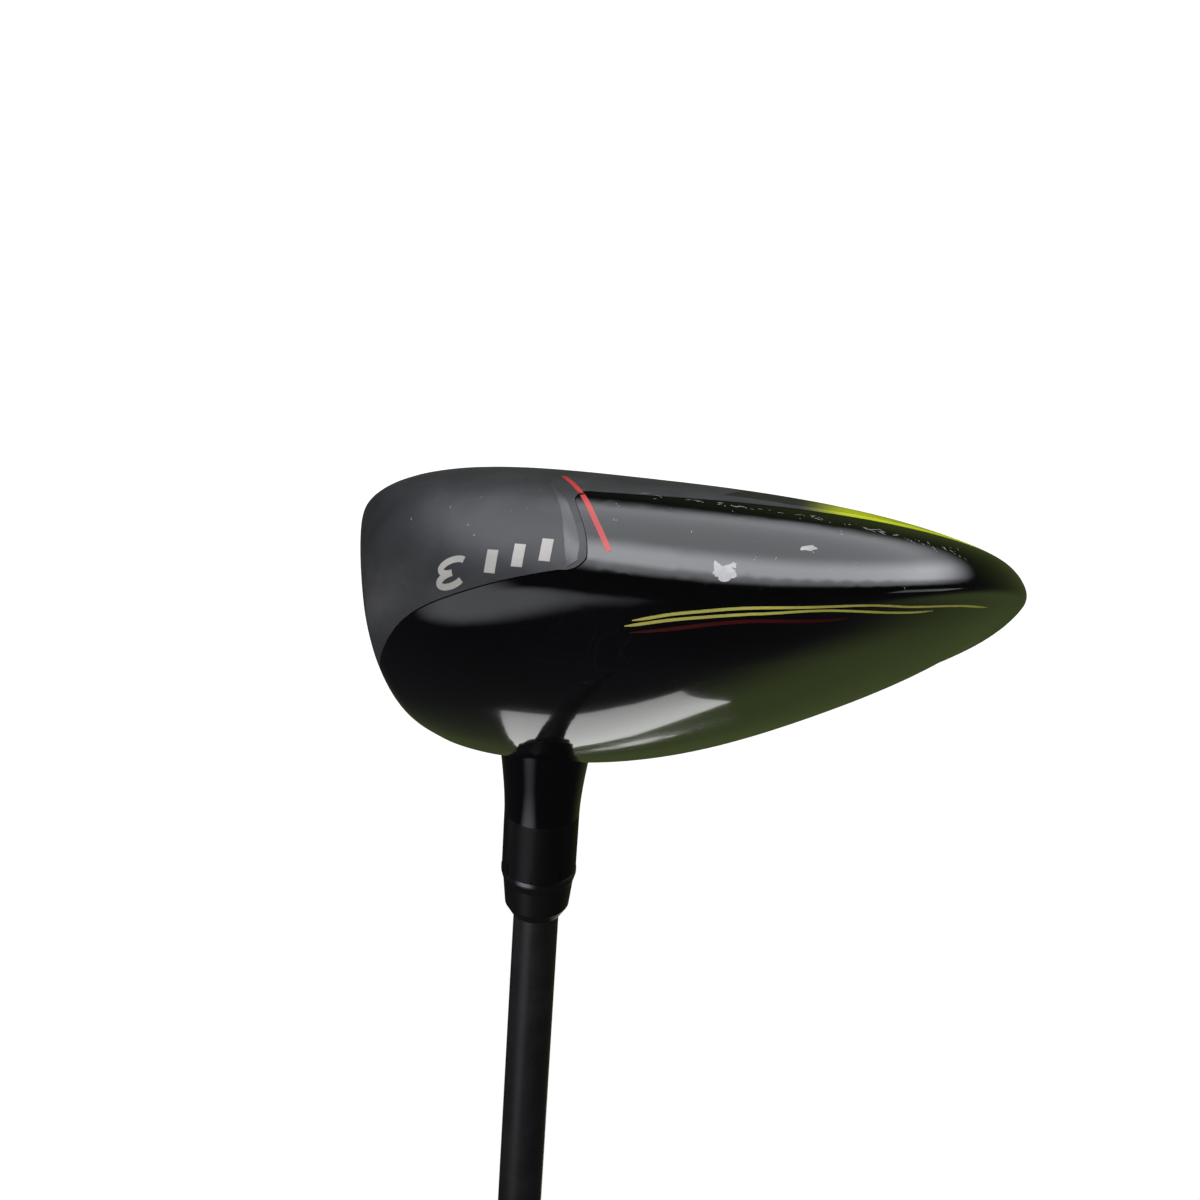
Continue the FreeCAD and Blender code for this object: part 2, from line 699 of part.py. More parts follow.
GRIP_MOUTH = CLUB_LENGTH - GRIP_LENGTH


def make_grip_tape():
    low = GRIP_MOUTH + TAPE_END_GAP
    high = CLUB_LENGTH - GRIP_CAP_THICKNESS - TAPE_END_GAP
    profile = [
        (shaft_radius(low), low),
        (shaft_radius(low) + TAPE_THICKNESS, low),
        (shaft_radius(high) + TAPE_THICKNESS, high),
        (shaft_radius(high), high),
    ]
    return on_shaft(turned(profile))


def make_grip():
    cap_floor = CLUB_LENGTH - GRIP_CAP_THICKNESS
    swell = GRIP_CAP_R - GRIP_MOUTH_R
    shares = [(0.0, 0.0), (0.2, 0.15), (0.45, 0.33), (0.7, 0.52), (0.88, 0.75), (0.97, 1.0), (0.988, 0.95),
              (0.997, 0.72)]
    outside = [(GRIP_MOUTH_R + swell * share, GRIP_MOUTH + GRIP_LENGTH * part) for part, share in shares]
    gap = TAPE_THICKNESS + TAPE_CLEARANCE
    inside = [
        (VENT_R, CLUB_LENGTH),
        (VENT_R, cap_floor),
        (shaft_radius(cap_floor) + gap, cap_floor),
        (shaft_radius(GRIP_MOUTH) + gap, GRIP_MOUTH),
    ]
    return on_shaft(turned(outside + [(GRIP_CAP_R * 0.45, CLUB_LENGTH)] + inside))


# --------------------------------------------------------------------- build

def main():
    os.makedirs("parts", exist_ok=True)
    outer = head_solid(0, 0, FACE_EDGE_R)
    lap = CROWN_THICKNESS + BOND
    lapped = head_solid(lap, lap, FACE_EDGE_R - lap)
    region = crown_region(0, 0)
    nodes = {
        "head_body": make_head_body(outer, lapped, region),
        "face_plate": make_face_plate(),
        "crown_shell": make_crown_shell(outer),
        "sole_panel": make_sole_panel(outer),
        "front_weight": make_front_weight(),
        "hot_melt_pad": make_hot_melt_pad(),
        "hosel_tube": make_hosel_tube(),
        "bolt_washer": make_bolt_washer(),
        "hosel_bolt": make_hosel_bolt(),
        "bolt_retainer": make_bolt_retainer(),
        "rear_weight": make_rear_weight(),
        "weight_washer": make_weight_washer(),
        "rear_weight_screw": make_rear_weight_screw(),
        "hosel_sleeve": make_hosel_sleeve(),
        "sleeve_ring": make_sleeve_ring(),
        "ferrule": make_ferrule(),
        "shaft_tube": make_shaft_tube(),
        "tip_plug": make_tip_plug(),
        "grip_tape": make_grip_tape(),
        "grip": make_grip(),
    }
    for name, shape in nodes.items():
        shape.exportStep(f"parts/{name}.step")
        print(name, len(shape.Solids), "solid", round(shape.Volume), "mm3", "valid" if shape.isValid() else "BAD")


main()
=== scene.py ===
import json
import math
import random

import bpy
from bpy.props import FloatProperty, FloatVectorProperty, IntProperty, PointerProperty
from mathutils import Matrix, Vector, noise
from mathutils.bvhtree import BVHTree


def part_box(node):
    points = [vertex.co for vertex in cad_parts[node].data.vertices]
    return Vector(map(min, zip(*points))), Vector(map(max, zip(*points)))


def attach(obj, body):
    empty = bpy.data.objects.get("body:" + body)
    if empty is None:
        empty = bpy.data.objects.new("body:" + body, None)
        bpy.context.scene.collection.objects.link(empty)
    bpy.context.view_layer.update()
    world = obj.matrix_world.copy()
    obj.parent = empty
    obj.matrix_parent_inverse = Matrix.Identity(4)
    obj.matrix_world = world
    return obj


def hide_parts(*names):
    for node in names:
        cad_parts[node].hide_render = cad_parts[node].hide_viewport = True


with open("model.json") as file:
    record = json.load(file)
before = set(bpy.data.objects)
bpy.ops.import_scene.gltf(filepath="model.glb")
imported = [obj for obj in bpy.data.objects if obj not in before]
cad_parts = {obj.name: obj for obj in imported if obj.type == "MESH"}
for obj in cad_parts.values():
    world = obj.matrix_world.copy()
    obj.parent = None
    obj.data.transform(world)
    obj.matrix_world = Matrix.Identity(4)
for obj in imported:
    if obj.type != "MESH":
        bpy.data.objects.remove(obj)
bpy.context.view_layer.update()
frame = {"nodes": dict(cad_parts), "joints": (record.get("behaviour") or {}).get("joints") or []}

bl_info = {
    "name": "Fairway wood",
    "version": (1, 0, 0),
    "blender": (4, 5, 0),
    "location": "3D View > Sidebar > Club",
    "description": "Finishes, markings, grip and studio for an adjustable fairway wood",
    "category": "Object",
}

MM = 0.001
JOINTS = {joint["name"]: joint for joint in frame["joints"]}

# The shaft's axis, and the weight's, as the joints give them
SHAFT_AXIS = Vector(JOINTS["sleeve_lift"]["axis"]).normalized()
SHAFT_FOOT = Vector(JOINTS["hosel_bolt_turn"]["pos_m"])
WEIGHT_AXIS = Vector(JOINTS["weight_screw_turn"]["axis"]).normalized()
WEIGHT_CENTRE = Vector(JOINTS["weight_screw_turn"]["pos_m"])

# The head's front, length, height and toe
CROWN_LOW, CROWN_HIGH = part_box("crown_shell")
FRONT_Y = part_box("head_body")[0].y
HEAD_LENGTH = CROWN_HIGH.y - FRONT_Y
HEAD_HEIGHT = CROWN_HIGH.z
TOE_X = CROWN_LOW.x

# Markings on the toe, as (share of the way from front to back, share of the head's height)
RED_STRIPE = [(0.321, 0.217), (0.352, 0.292), (0.382, 0.399), (0.409, 0.506)]
UPPER_YELLOW = [(0.446, 0.690), (0.51, 0.653), (0.598, 0.611), (0.715, 0.547), (0.792, 0.490),
                (0.859, 0.423), (0.912, 0.363)]
LOWER_YELLOW = [(0.437, 0.706), (0.51, 0.667), (0.599, 0.624), (0.698, 0.567), (0.821, 0.469)]
DARK_RED = [(0.443, 0.720), (0.578, 0.650), (0.705, 0.577)]
BEVEL_FRONT = [(0.360, 0.570), (0.351, 0.48), (0.340, 0.39), (0.322, 0.315), (0.298, 0.235)]
BEVEL_BACK = [(0.372, 0.545), (0.370, 0.482), (0.352, 0.385), (0.332, 0.31), (0.308, 0.25)]
NUMERAL_START = (0.332, 0.487)
NUMERAL_RISE = math.radians(17.0)
SKIRT_CREASE = [(0.34, 0.275), (0.5, 0.282), (0.638, 0.284), (0.78, 0.292), (0.897, 0.29)]

# Where the yellow starts, front to back, and how far paint plates stand proud and sink in
PANEL_FADE = (39 * MM, 46 * MM)
PAINT_LIFT = 0.03 * MM
PAINT_SINK = 0.05 * MM


# ---- settings

def colour(name, description, default):
    return FloatVectorProperty(name=name, description=description, default=default,
                               subtype="COLOR", size=3, min=0.0, max=1.0)


def length(name, description, default):
    return FloatProperty(name=name, description=description, default=default * MM,
                         unit="LENGTH", subtype="DISTANCE", precision=5)


def share(name, description, default):
    return FloatProperty(name=name, description=description, default=default,
                         subtype="FACTOR", min=0.0, max=1.0)


def light_level(name, description, default):
    return FloatProperty(name=name, description=description, default=default, min=0.0)


class ClubFinish(bpy.types.PropertyGroup):
    matt: colour("Matt paint", "Paint on the front and the sole", (0.062, 0.063, 0.068))
    gloss: colour("Gloss lacquer", "Lacquer on the crown and the hosel", (0.004, 0.004, 0.005))
    panel: colour("Sole panel", "Fluorescent panel behind the sole", (0.66, 0.74, 0.008))
    steel: colour("Steel", "Weights and face", (0.36, 0.36, 0.37))
    matt_roughness: share("Matt roughness", "How dull the matt paint is", 0.42)
    gloss_roughness: share("Gloss roughness", "How dull the lacquer is", 0.06)
    wear: share("Wear", "How much of the paint is scratched", 0.5)


class ClubMarks(bpy.types.PropertyGroup):
    red: colour("Red stripe", "Colour of the stripe behind the bevel", (0.75, 0.06, 0.055))
    dark_red: colour("Dark red line", "Colour of the lowest crown line", (0.09, 0.006, 0.006))
    yellow: colour("Yellow lines", "Colour of the two crown lines", (0.85, 0.76, 0.16))
    silver: colour("Numeral", "Colour of the club number", (0.62, 0.60, 0.56))
    primer: colour("Primer", "What shows in a paint chip", (0.55, 0.55, 0.54))
    line_width: length("Line width", "Width of the yellow lines", 0.38)
    stripe_width: length("Stripe width", "Width of the red stripe", 0.62)
    numeral_height: length("Numeral height", "Height of the club number", 2.8)
    bar_height: length("Bar height", "Height of the slanted bars", 2.5)
    stroke: length("Stroke", "Width of the number's stroke", 0.74)
    nicks: IntProperty(name="Nicks", description="How many small nicks the paint has", default=110, min=0)
    seed: IntProperty(name="Seed", description="Where the nicks fall", default=7)


class ClubGrip(bpy.types.PropertyGroup):
    rubber: colour("Rubber", "Grip rubber", (0.022, 0.022, 0.023))
    groove: length("Groove depth", "Depth of the moulded pattern", 0.32)
    pitch: length("Pattern pitch", "Length of one diamond", 6.0)
    starts: IntProperty(name="Starts", description="Diamonds round the grip", default=10, min=4)


class ClubStudio(bpy.types.PropertyGroup):
    floor_drop: FloatProperty(name="Floor drop", description="How far the floor is under the sole",
                              default=0.35, unit="LENGTH")
    sky: light_level("Tent light", "Strength of the soft light", 2.0)
    grass: light_level("Grass light", "Strength of the green light", 0.06)
    ambient: light_level("Ambient", "Strength of the light all round", 0.02)


# ---- shader node groups

def math_node(tree, operation, first, second=None, clamp=False):
    """A Math node's output; an input is a number or a socket."""
    node = tree.nodes.new("ShaderNodeMath")
    node.operation = operation
    node.use_clamp = clamp
    for socket, value in zip(node.inputs, (first, second)):
        if value is None:
            continue
        if isinstance(value, (int, float)):
            socket.default_value = value
        else:
            tree.links.new(value, socket)
    return node.outputs[0]


def vector_node(tree, operation, first, second=None):
    """A Vector Math node's output; an input is a vector or a socket."""
    node = tree.nodes.new("ShaderNodeVectorMath")
    node.operation = operation
    for socket, value in zip(node.inputs, (first, second)):
        if value is None:
            continue
        if isinstance(value, bpy.types.NodeSocket):
            tree.links.new(value, socket)
        else:
            socket.default_value = value
    output = "Value" if operation in ("DOT_PRODUCT", "LENGTH") else "Vector"
    return node.outputs[output]


def ramp(tree, value, low, high):
    """A smooth step of value, 0 at low and 1 at high."""
    node = tree.nodes.new("ShaderNodeMapRange")
    node.interpolation_type = "SMOOTHSTEP"
    for label, setting in (("From Min", low), ("From Max", high)):
        if isinstance(setting, bpy.types.NodeSocket):
            tree.links.new(setting, node.inputs[label])
        else:
            node.inputs[label].default_value = setting
    tree.links.new(value, node.inputs["Value"])
    return node.outputs["Result"]


def noise_node(tree, vector, scale, detail=2.0, roughness=0.5):
    """Noise from 0 to 1 at a number of features to the metre."""
    node = tree.nodes.new("ShaderNodeTexNoise")
    node.inputs["Detail"].default_value = detail
    node.inputs["Roughness"].default_value = roughness
    tree.links.new(vector, node.inputs["Vector"])
    if isinstance(scale, bpy.types.NodeSocket):
        tree.links.new(scale, node.inputs["Scale"])
    else:
        node.inputs["Scale"].default_value = scale
    return node.outputs["Fac"]


def place(tree):
    """Where a point of the surface is, in the object's own frame."""
    return tree.nodes.new("ShaderNodeTexCoord").outputs["Object"]


def stretched(tree, vector, scale, turn):
    """A place squeezed and turned, for lines and brushing."""
    node = tree.nodes.new("ShaderNodeMapping")
    node.inputs["Scale"].default_value = scale
    node.inputs["Rotation"].default_value = turn
    tree.links.new(vector, node.inputs["Vector"])
    return node.outputs["Vector"]


def node_group(name, inputs, outputs, build):
    """A shader group with named float or vector sockets, made once and used by many materials."""
    found = bpy.data.node_groups.get(name)
    if found:
        return found
    group = bpy.data.node_groups.new(name, "ShaderNodeTree")
    for label, default in inputs:
        vector = isinstance(default, tuple)
        kind = "NodeSocketVector" if vector else "NodeSocketFloat"
        socket = group.interface.new_socket(label, in_out="INPUT", socket_type=kind)
        socket.default_value = default
    for label in outputs:
        group.interface.new_socket(label, in_out="OUTPUT", socket_type="NodeSocketFloat")
    entry = group.nodes.new("NodeGroupInput")
    leave = group.nodes.new("NodeGroupOutput")
    results = build(group, entry.outputs)
    for label, result in zip(outputs, results):
        group.links.new(result, leave.inputs[label])
    return group


def build_grain(tree, given):
    """Fine texture of a sprayed or moulded surface, with slow drifts of tone."""
    here = place(tree)
    fine = noise_node(tree, here, given["Scale"], detail=3.0, roughness=0.65)
    coarse = noise_node(tree, here, math_node(tree, "MULTIPLY", given["Scale"], 0.045))
    speck = ramp(tree, fine, 0.62, 0.72)
    drift = ramp(tree, coarse, 0.35, 0.65)
    tone = math_node(tree, "ADD", math_node(tree, "MULTIPLY", fine, 0.55),
                     math_node(tree, "MULTIPLY", drift, 0.45))
    return tone, speck, fine


def build_scratches(tree, given):
    """Fine scratches in two crossing directions, broken up so that they are short."""
    here = place(tree)
    masks = []
    for turn, squeeze in (((0.3, 0.2, 0.5), (1.0, 0.05, 0.7)), ((1.1, 0.7, -0.4), (0.06, 1.0, 0.8))):
        lines = noise_node(tree, stretched(tree, here, squeeze, turn), given["Scale"], detail=1.0)
        off = math_node(tree, "ABSOLUTE", math_node(tree, "SUBTRACT", lines, 0.5))
        thin = math_node(tree, "SUBTRACT", 1.0, ramp(tree, off, 0.0, given["Width"]))
        patches = noise_node(tree, here, math_node(tree, "MULTIPLY", given["Scale"], 0.17), detail=1.0)
        masks.append(math_node(tree, "MULTIPLY", thin, ramp(tree, patches, 0.52, 0.62)))
    both = math_node(tree, "MAXIMUM", masks[0], masks[1])
    return (math_node(tree, "MULTIPLY", both, given["Amount"]),)


def build_smudges(tree, given):
    """Where fingers and cloths have dulled the surface."""
    here = place(tree)
    wiped = stretched(tree, here, (1.0, 0.35, 1.0), (0.0, 0.4, 0.6))
    wipe = noise_node(tree, wiped, given["Scale"], detail=4.0)
    dust = noise_node(tree, here, math_node(tree, "MULTIPLY", given["Scale"], 30.0), detail=1.0)
    soft = math_node(tree, "MULTIPLY", ramp(tree, wipe, 0.38, 0.68), given["Spread"])
    specks = math_node(tree, "MULTIPLY", ramp(tree, dust, 0.68, 0.76), given["Dust"])
    rough = math_node(tree, "ADD", given["Base"], math_node(tree, "ADD", soft, specks))
    return rough, ramp(tree, dust, 0.72, 0.78)


def build_turned(tree, given):
    """Tool marks of a turned piece: rings on its ends and bands along its side."""
    offset = vector_node(tree, "SUBTRACT", place(tree), given["Centre"])
    along = vector_node(tree, "DOT_PRODUCT", offset, given["Axis"])
    reach = vector_node(tree, "LENGTH", offset)
    radius_2 = math_node(tree, "SUBTRACT", math_node(tree, "MULTIPLY", reach, reach),
                         math_node(tree, "MULTIPLY", along, along))
    radius = math_node(tree, "SQRT", math_node(tree, "MAXIMUM", radius_2, 0.0))
    line = tree.nodes.new("ShaderNodeCombineXYZ")
    tree.links.new(math_node(tree, "DIVIDE", radius, given["Pitch"]), line.inputs[0])
    tree.links.new(math_node(tree, "DIVIDE", along, given["Pitch"]), line.inputs[1])
    return (noise_node(tree, line.outputs[0], 1.0, roughness=0.7),)


def grain():
    return node_group("Grain", [("Scale", 3000.0)], ["Tone", "Speck", "Height"], build_grain)


def scratches():
    return node_group("Scratches", [("Scale", 260.0), ("Width", 0.008), ("Amount", 1.0)], ["Mask"],
                      build_scratches)


def smudges():
    return node_group("Smudges", [("Scale", 40.0), ("Base", 0.1), ("Spread", 0.1), ("Dust", 0.2)],
                      ["Roughness", "Dust"], build_smudges)


def turned():
    return node_group("Turned marks", [("Centre", (0.0, 0.0, 0.0)), ("Axis", (0.0, 0.0, 1.0)),
                                       ("Pitch", 0.0002)], ["Marks"], build_turned)


def use(tree, group, **values):
    """Places a group in a material with its own values."""
    node = tree.nodes.new("ShaderNodeGroup")
    node.node_tree = group
    for label, value in values.items():
        node.inputs[label].default_value = value
    return node


def mixed(tree, mask, first, second):
    """A colour that turns from first to second with the mask; either is a colour or a socket."""
    node = tree.nodes.new("ShaderNodeMix")
    node.data_type = "RGBA"
    tree.links.new(mask, node.inputs["Factor"])
    for label, value in (("A", first), ("B", second)):
        socket = [s for s in node.inputs if s.name == label and s.type == "RGBA"][0]
        if isinstance(value, bpy.types.NodeSocket):
            tree.links.new(value, socket)
        else:
            socket.default_value = (*value, 1.0)
    return [s for s in node.outputs if s.type == "RGBA"][0]


def scaled(base, factor):
    """A colour made lighter or darker."""
    return tuple(min(1.0, channel * factor) for channel in base)


def surface(name, base, metallic=0.0, coat=0.0, coat_roughness=0.03, ior=1.5):
    """A new material with a Principled shader whose even values are set on its own sockets."""
    material = bpy.data.materials.new(name)
    material.use_nodes = True
    material.diffuse_color = (*base[:3], 1.0)
    shader = material.node_tree.nodes["Principled BSDF"]
    shader.inputs["Metallic"].default_value = metallic
    shader.inputs["Coat Weight"].default_value = coat
    shader.inputs["Coat Roughness"].default_value = coat_roughness
    shader.inputs["IOR"].default_value = ior
    return material, material.node_tree, shader


def bump(tree, shader, height, distance):
    """Relief of the given depth, in metres."""
    node = tree.nodes.new("ShaderNodeBump")
    node.inputs["Distance"].default_value = distance
    tree.links.new(height, node.inputs["Height"])
    tree.links.new(node.outputs["Normal"], shader.inputs["Normal"])


def paint(name, base, roughness, spread, grain_scale, relief, wear, scratch_tone, coat=0.0, dust=0.1,
          ior=1.5, metallic=0.0, contrast=1.4):
    """Sprayed paint, lacquer, rubber or plastic: drifting tone, grain, dulled patches and scratches."""
    material, tree, shader = surface(name, base, metallic, coat, ior=ior)
    texture = use(tree, grain(), Scale=grain_scale)
    marks = use(tree, scratches(), Amount=wear)
    dulled = use(tree, smudges(), Base=roughness, Spread=spread, Dust=dust)
    tone = mixed(tree, texture.outputs["Tone"], scaled(base, 1.0 / contrast), scaled(base, contrast))
    worn = mixed(tree, marks.outputs["Mask"], tone, scratch_tone)
    tree.links.new(worn, shader.inputs["Base Color"])
    rough = math_node(tree, "ADD", dulled.outputs["Roughness"],
                      math_node(tree, "MULTIPLY", marks.outputs["Mask"], 0.2), clamp=True)
    tree.links.new(rough, shader.inputs["Roughness"])
    height = math_node(tree, "SUBTRACT", texture.outputs["Height"],
                       math_node(tree, "MULTIPLY", marks.outputs["Mask"], 0.8))
    bump(tree, shader, height, relief)
    return material


def turned_metal(name, base, centre, axis, pitch, roughness, metallic=1.0, relief=0.004 * MM):
    """A lathe-turned metal or plastic piece with rings of tool marks."""
    material, tree, shader = surface(name, base, metallic)
    marks = use(tree, turned(), Centre=centre, Axis=axis, Pitch=pitch)
    dulled = use(tree, smudges(), Base=roughness, Spread=0.12, Dust=0.15)
    tone = mixed(tree, marks.outputs["Marks"], scaled(base, 0.72), scaled(base, 1.25))
    tree.links.new(tone, shader.inputs["Base Color"])
    tree.links.new(dulled.outputs["Roughness"], shader.inputs["Roughness"])
    bump(tree, shader, marks.outputs["Marks"], relief)
    return material


def dress(node, material):
    """Gives a node of the frame its finish; its mesh and place stay as they are."""
    slots = frame["nodes"][node].data.materials
    slots.clear()
    slots.append(material)


# ---- mesh tools

def tree_of(*nodes):
    """A search tree over the outer skins of some nodes of the frame."""
    points = []
    faces = []
    for node in nodes:
        mesh = frame["nodes"][node].data
        start = len(points)
        points.extend(vertex.co.copy() for vertex in mesh.vertices)
        faces.extend([start + index for index in face.vertices] for face in mesh.polygons)
    return BVHTree.FromPolygons(points, faces)


def new_piece(name, points, faces, material, body, smooth=True):
    """A mesh that rides on a body, with the given material."""
    mesh = bpy.data.meshes.new(name)
    mesh.from_pydata([tuple(point) for point in points], [], faces)
    mesh.validate()
    mesh.update()
    mesh.polygons.foreach_set("use_smooth", [smooth] * len(mesh.polygons))
    if smooth:
        mesh.set_sharp_from_angle(angle=math.radians(38))
    mesh.materials.append(material)
    piece = bpy.data.objects.new(name, mesh)
    bpy.context.scene.collection.objects.link(piece)
    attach(piece, body)
    return piece


def curve_through(points, steps):
    """Points along a smooth curve through the given ones (Catmull-Rom)."""
    ends = [2 * points[0] - points[1]] + list(points) + [2 * points[-1] - points[-2]]
    made = []
    for a, b, c, d in zip(ends, ends[1:], ends[2:], ends[3:]):
        for i in range(steps):
            t = i / steps
            made.append(0.5 * (2 * b + (c - a) * t + (2 * a - 5 * b + 4 * c - d) * t * t
                               + (3 * b - a - 3 * c + d) * t * t * t))
    return made + [points[-1].copy()]


def toe_point(tree, along, up):
    """The skin of the toe at a share of the head's length and height, seen square from the toe."""
    start = Vector((TOE_X - 10 * MM, FRONT_Y + along * HEAD_LENGTH, up * HEAD_HEIGHT))
    spot, normal, _, _ = tree.ray_cast(start, Vector((1, 0, 0)))
    if spot is None:
        raise RuntimeError("a marking lies off the head")
    return spot, normal


def on_skin(tree, point):
    """The nearest place on a skin, and its normal."""
    spot, normal, _, _ = tree.find_nearest(point)
    return spot, normal


class Patchwork:
    """Collects thin closed plates of paint that follow a skin."""

    def __init__(self, tree, lift=PAINT_LIFT):
        self.tree = tree
        self.lift = lift
        self.points = []
        self.faces = []

    def strip(self, path, widths):
        """A plate along a path on the skin, with its own width at each point."""
        start = len(self.points)
        for i, point in enumerate(path):
            spot, normal = on_skin(self.tree, point)
            ahead = path[min(i + 1, len(path) - 1)] - path[max(i - 1, 0)]
            side = normal.cross(ahead).normalized() * (widths[i] / 2)
            for offset in (-side, side):
                edge, edge_normal = on_skin(self.tree, spot + offset)
                self.points.append(edge - edge_normal * PAINT_SINK)
                self.points.append(edge + edge_normal * self.lift)
        for i in range(len(path) - 1):
            a = start + 4 * i
            b = a + 4
            self.faces.append((a + 1, b + 1, b + 3, a + 3))
            self.faces.append((a, a + 2, b + 2, b))
            self.faces.append((a, b, b + 1, a + 1))
            self.faces.append((a + 2, a + 3, b + 3, b + 2))
        last = start + 4 * (len(path) - 1)
        self.faces.append((start, start + 1, start + 3, start + 2))
        self.faces.append((last, last + 2, last + 3, last + 1))

    def patch(self, outline, domed=0.0):
        """A plate inside a closed outline on the skin."""
        start = len(self.points)
        middle = sum(outline, Vector()) / len(outline)
        count = len(outline)
        rings = (0.35, 0.7, 1.0)
        spot, normal = on_skin(self.tree, middle)
        self.points.append(spot + normal * (self.lift + domed))
        for ring in rings:
            for point in outline:
                edge, edge_normal = on_skin(self.tree, middle.lerp(point, ring))
                self.points.append(edge + edge_normal * (self.lift + domed * (1 - ring)))
        for point in outline:
            edge, edge_normal = on_skin(self.tree, point)
            self.points.append(edge - edge_normal * PAINT_SINK)
        self.points.append(spot - normal * PAINT_SINK)
        for i in range(count):
            j = (i + 1) % count
            self.faces.append((start, start + 1 + i, start + 1 + j))
            for ring in range(len(rings)):
                a = start + 1 + ring * count
                b = a + count
                self.faces.append((a + i, b + i, b + j, a + j))
            bottom = start + 1 + len(rings) * count
            self.faces.append((bottom + i, bottom + count, bottom + j))

    def piece(self, name, material, body, slot):
        return new_piece(name, self.points, self.faces, material, body, smooth=False)


def toe_path(tree, shares, steps=12):
    """A smooth path on the skin through places on the toe."""
    return curve_through([toe_point(tree, *pair)[0] for pair in shares], steps)


def tapered(count, width, sharp):
    """Widths that run out to points over a share of the length at each end."""
    widths = []
    for i in range(count):
        t = i / (count - 1)
        end = min(1.0, min(t, 1 - t) / sharp) if sharp else 1.0
        widths.append(width * (0.25 + 0.75 * math.sin(end * math.pi / 2)))
    return widths


# ---- finish operators

class CLUB_OT_head_finish(bpy.types.Operator):
    """Paint the head: matt front and sole, gloss crown and hosel, face and sole panel"""
    bl_idname = "club.head_finish"
    bl_label = "Head finish"

    def execute(self, context):
        look = context.scene.club_finish
        matt = paint("matt_paint", look.matt, look.matt_roughness, 0.1, 5200.0, 0.02 * MM, look.wear * 0.45,
                     (0.13, 0.13, 0.135), contrast=1.22)
        self.rear_yellow(matt, None, look.panel)
        dress("head_body", matt)
        lacquer = {"roughness": look.gloss_roughness, "spread": 0.07, "grain_scale": 900.0,
                   "relief": 0.0016 * MM, "wear": look.wear * 0.3, "scratch_tone": (0.05, 0.05, 0.05),
                   "coat": 0.6, "contrast": 1.5}
        dress("crown_shell", paint("crown_lacquer", look.gloss, **lacquer))
        dress("hosel_tube", paint("hosel_lacquer", look.gloss, **lacquer))
        yellow = paint("panel_yellow", look.panel, 0.3, 0.1, 2600.0, 0.006 * MM, look.wear * 0.5,
                       (0.25, 0.27, 0.05), contrast=1.12)
        self.rear_yellow(yellow, scaled(look.matt, 0.8), None)
        dress("sole_panel", yellow)
        dress("face_plate", self.face(look))
        dress("hot_melt_pad", paint("hot_melt", (0.62, 0.52, 0.28), 0.3, 0.2, 500.0, 0.1 * MM, 0.0,
                                    (0.7, 0.6, 0.3), contrast=1.3))
        return {"FINISHED"}

    def rear_yellow(self, material, front, back):
        """Turns a paint's colour from front to back behind the line where the yellow starts."""
        tree = material.node_tree
        split = tree.nodes.new("ShaderNodeSeparateXYZ")
        tree.links.new(place(tree), split.inputs[0])
        fade = ramp(tree, split.outputs["Y"], PANEL_FADE[0], PANEL_FADE[1])
        base = tree.nodes["Principled BSDF"].inputs["Base Color"]
        painted = base.links[0].from_socket
        tree.links.new(mixed(tree, fade, front or painted, back or painted), base)

    def face(self, look):
        """Dark face steel: upright brushing under a fine blast."""
        material, tree, shader = surface("face_steel", look.steel, metallic=1.0)
        texture = use(tree, grain(), Scale=4200.0)
        upright = stretched(tree, place(tree), (1.0, 0.08, 0.05), (0.0, 0.0, 0.0))
        brushed = noise_node(tree, upright, 3600.0, 3.0)
        dulled = use(tree, smudges(), Base=0.34, Spread=0.12, Dust=0.2)
        tone = mixed(tree, brushed, scaled(look.steel, 0.25), scaled(look.steel, 0.6))
        worn = mixed(tree, texture.outputs["Speck"], tone, scaled(look.steel, 0.75))
        tree.links.new(worn, shader.inputs["Base Color"])
        tree.links.new(dulled.outputs["Roughness"], shader.inputs["Roughness"])
        height = math_node(tree, "ADD", texture.outputs["Height"], brushed)
        bump(tree, shader, height, 0.008 * MM)
        return material


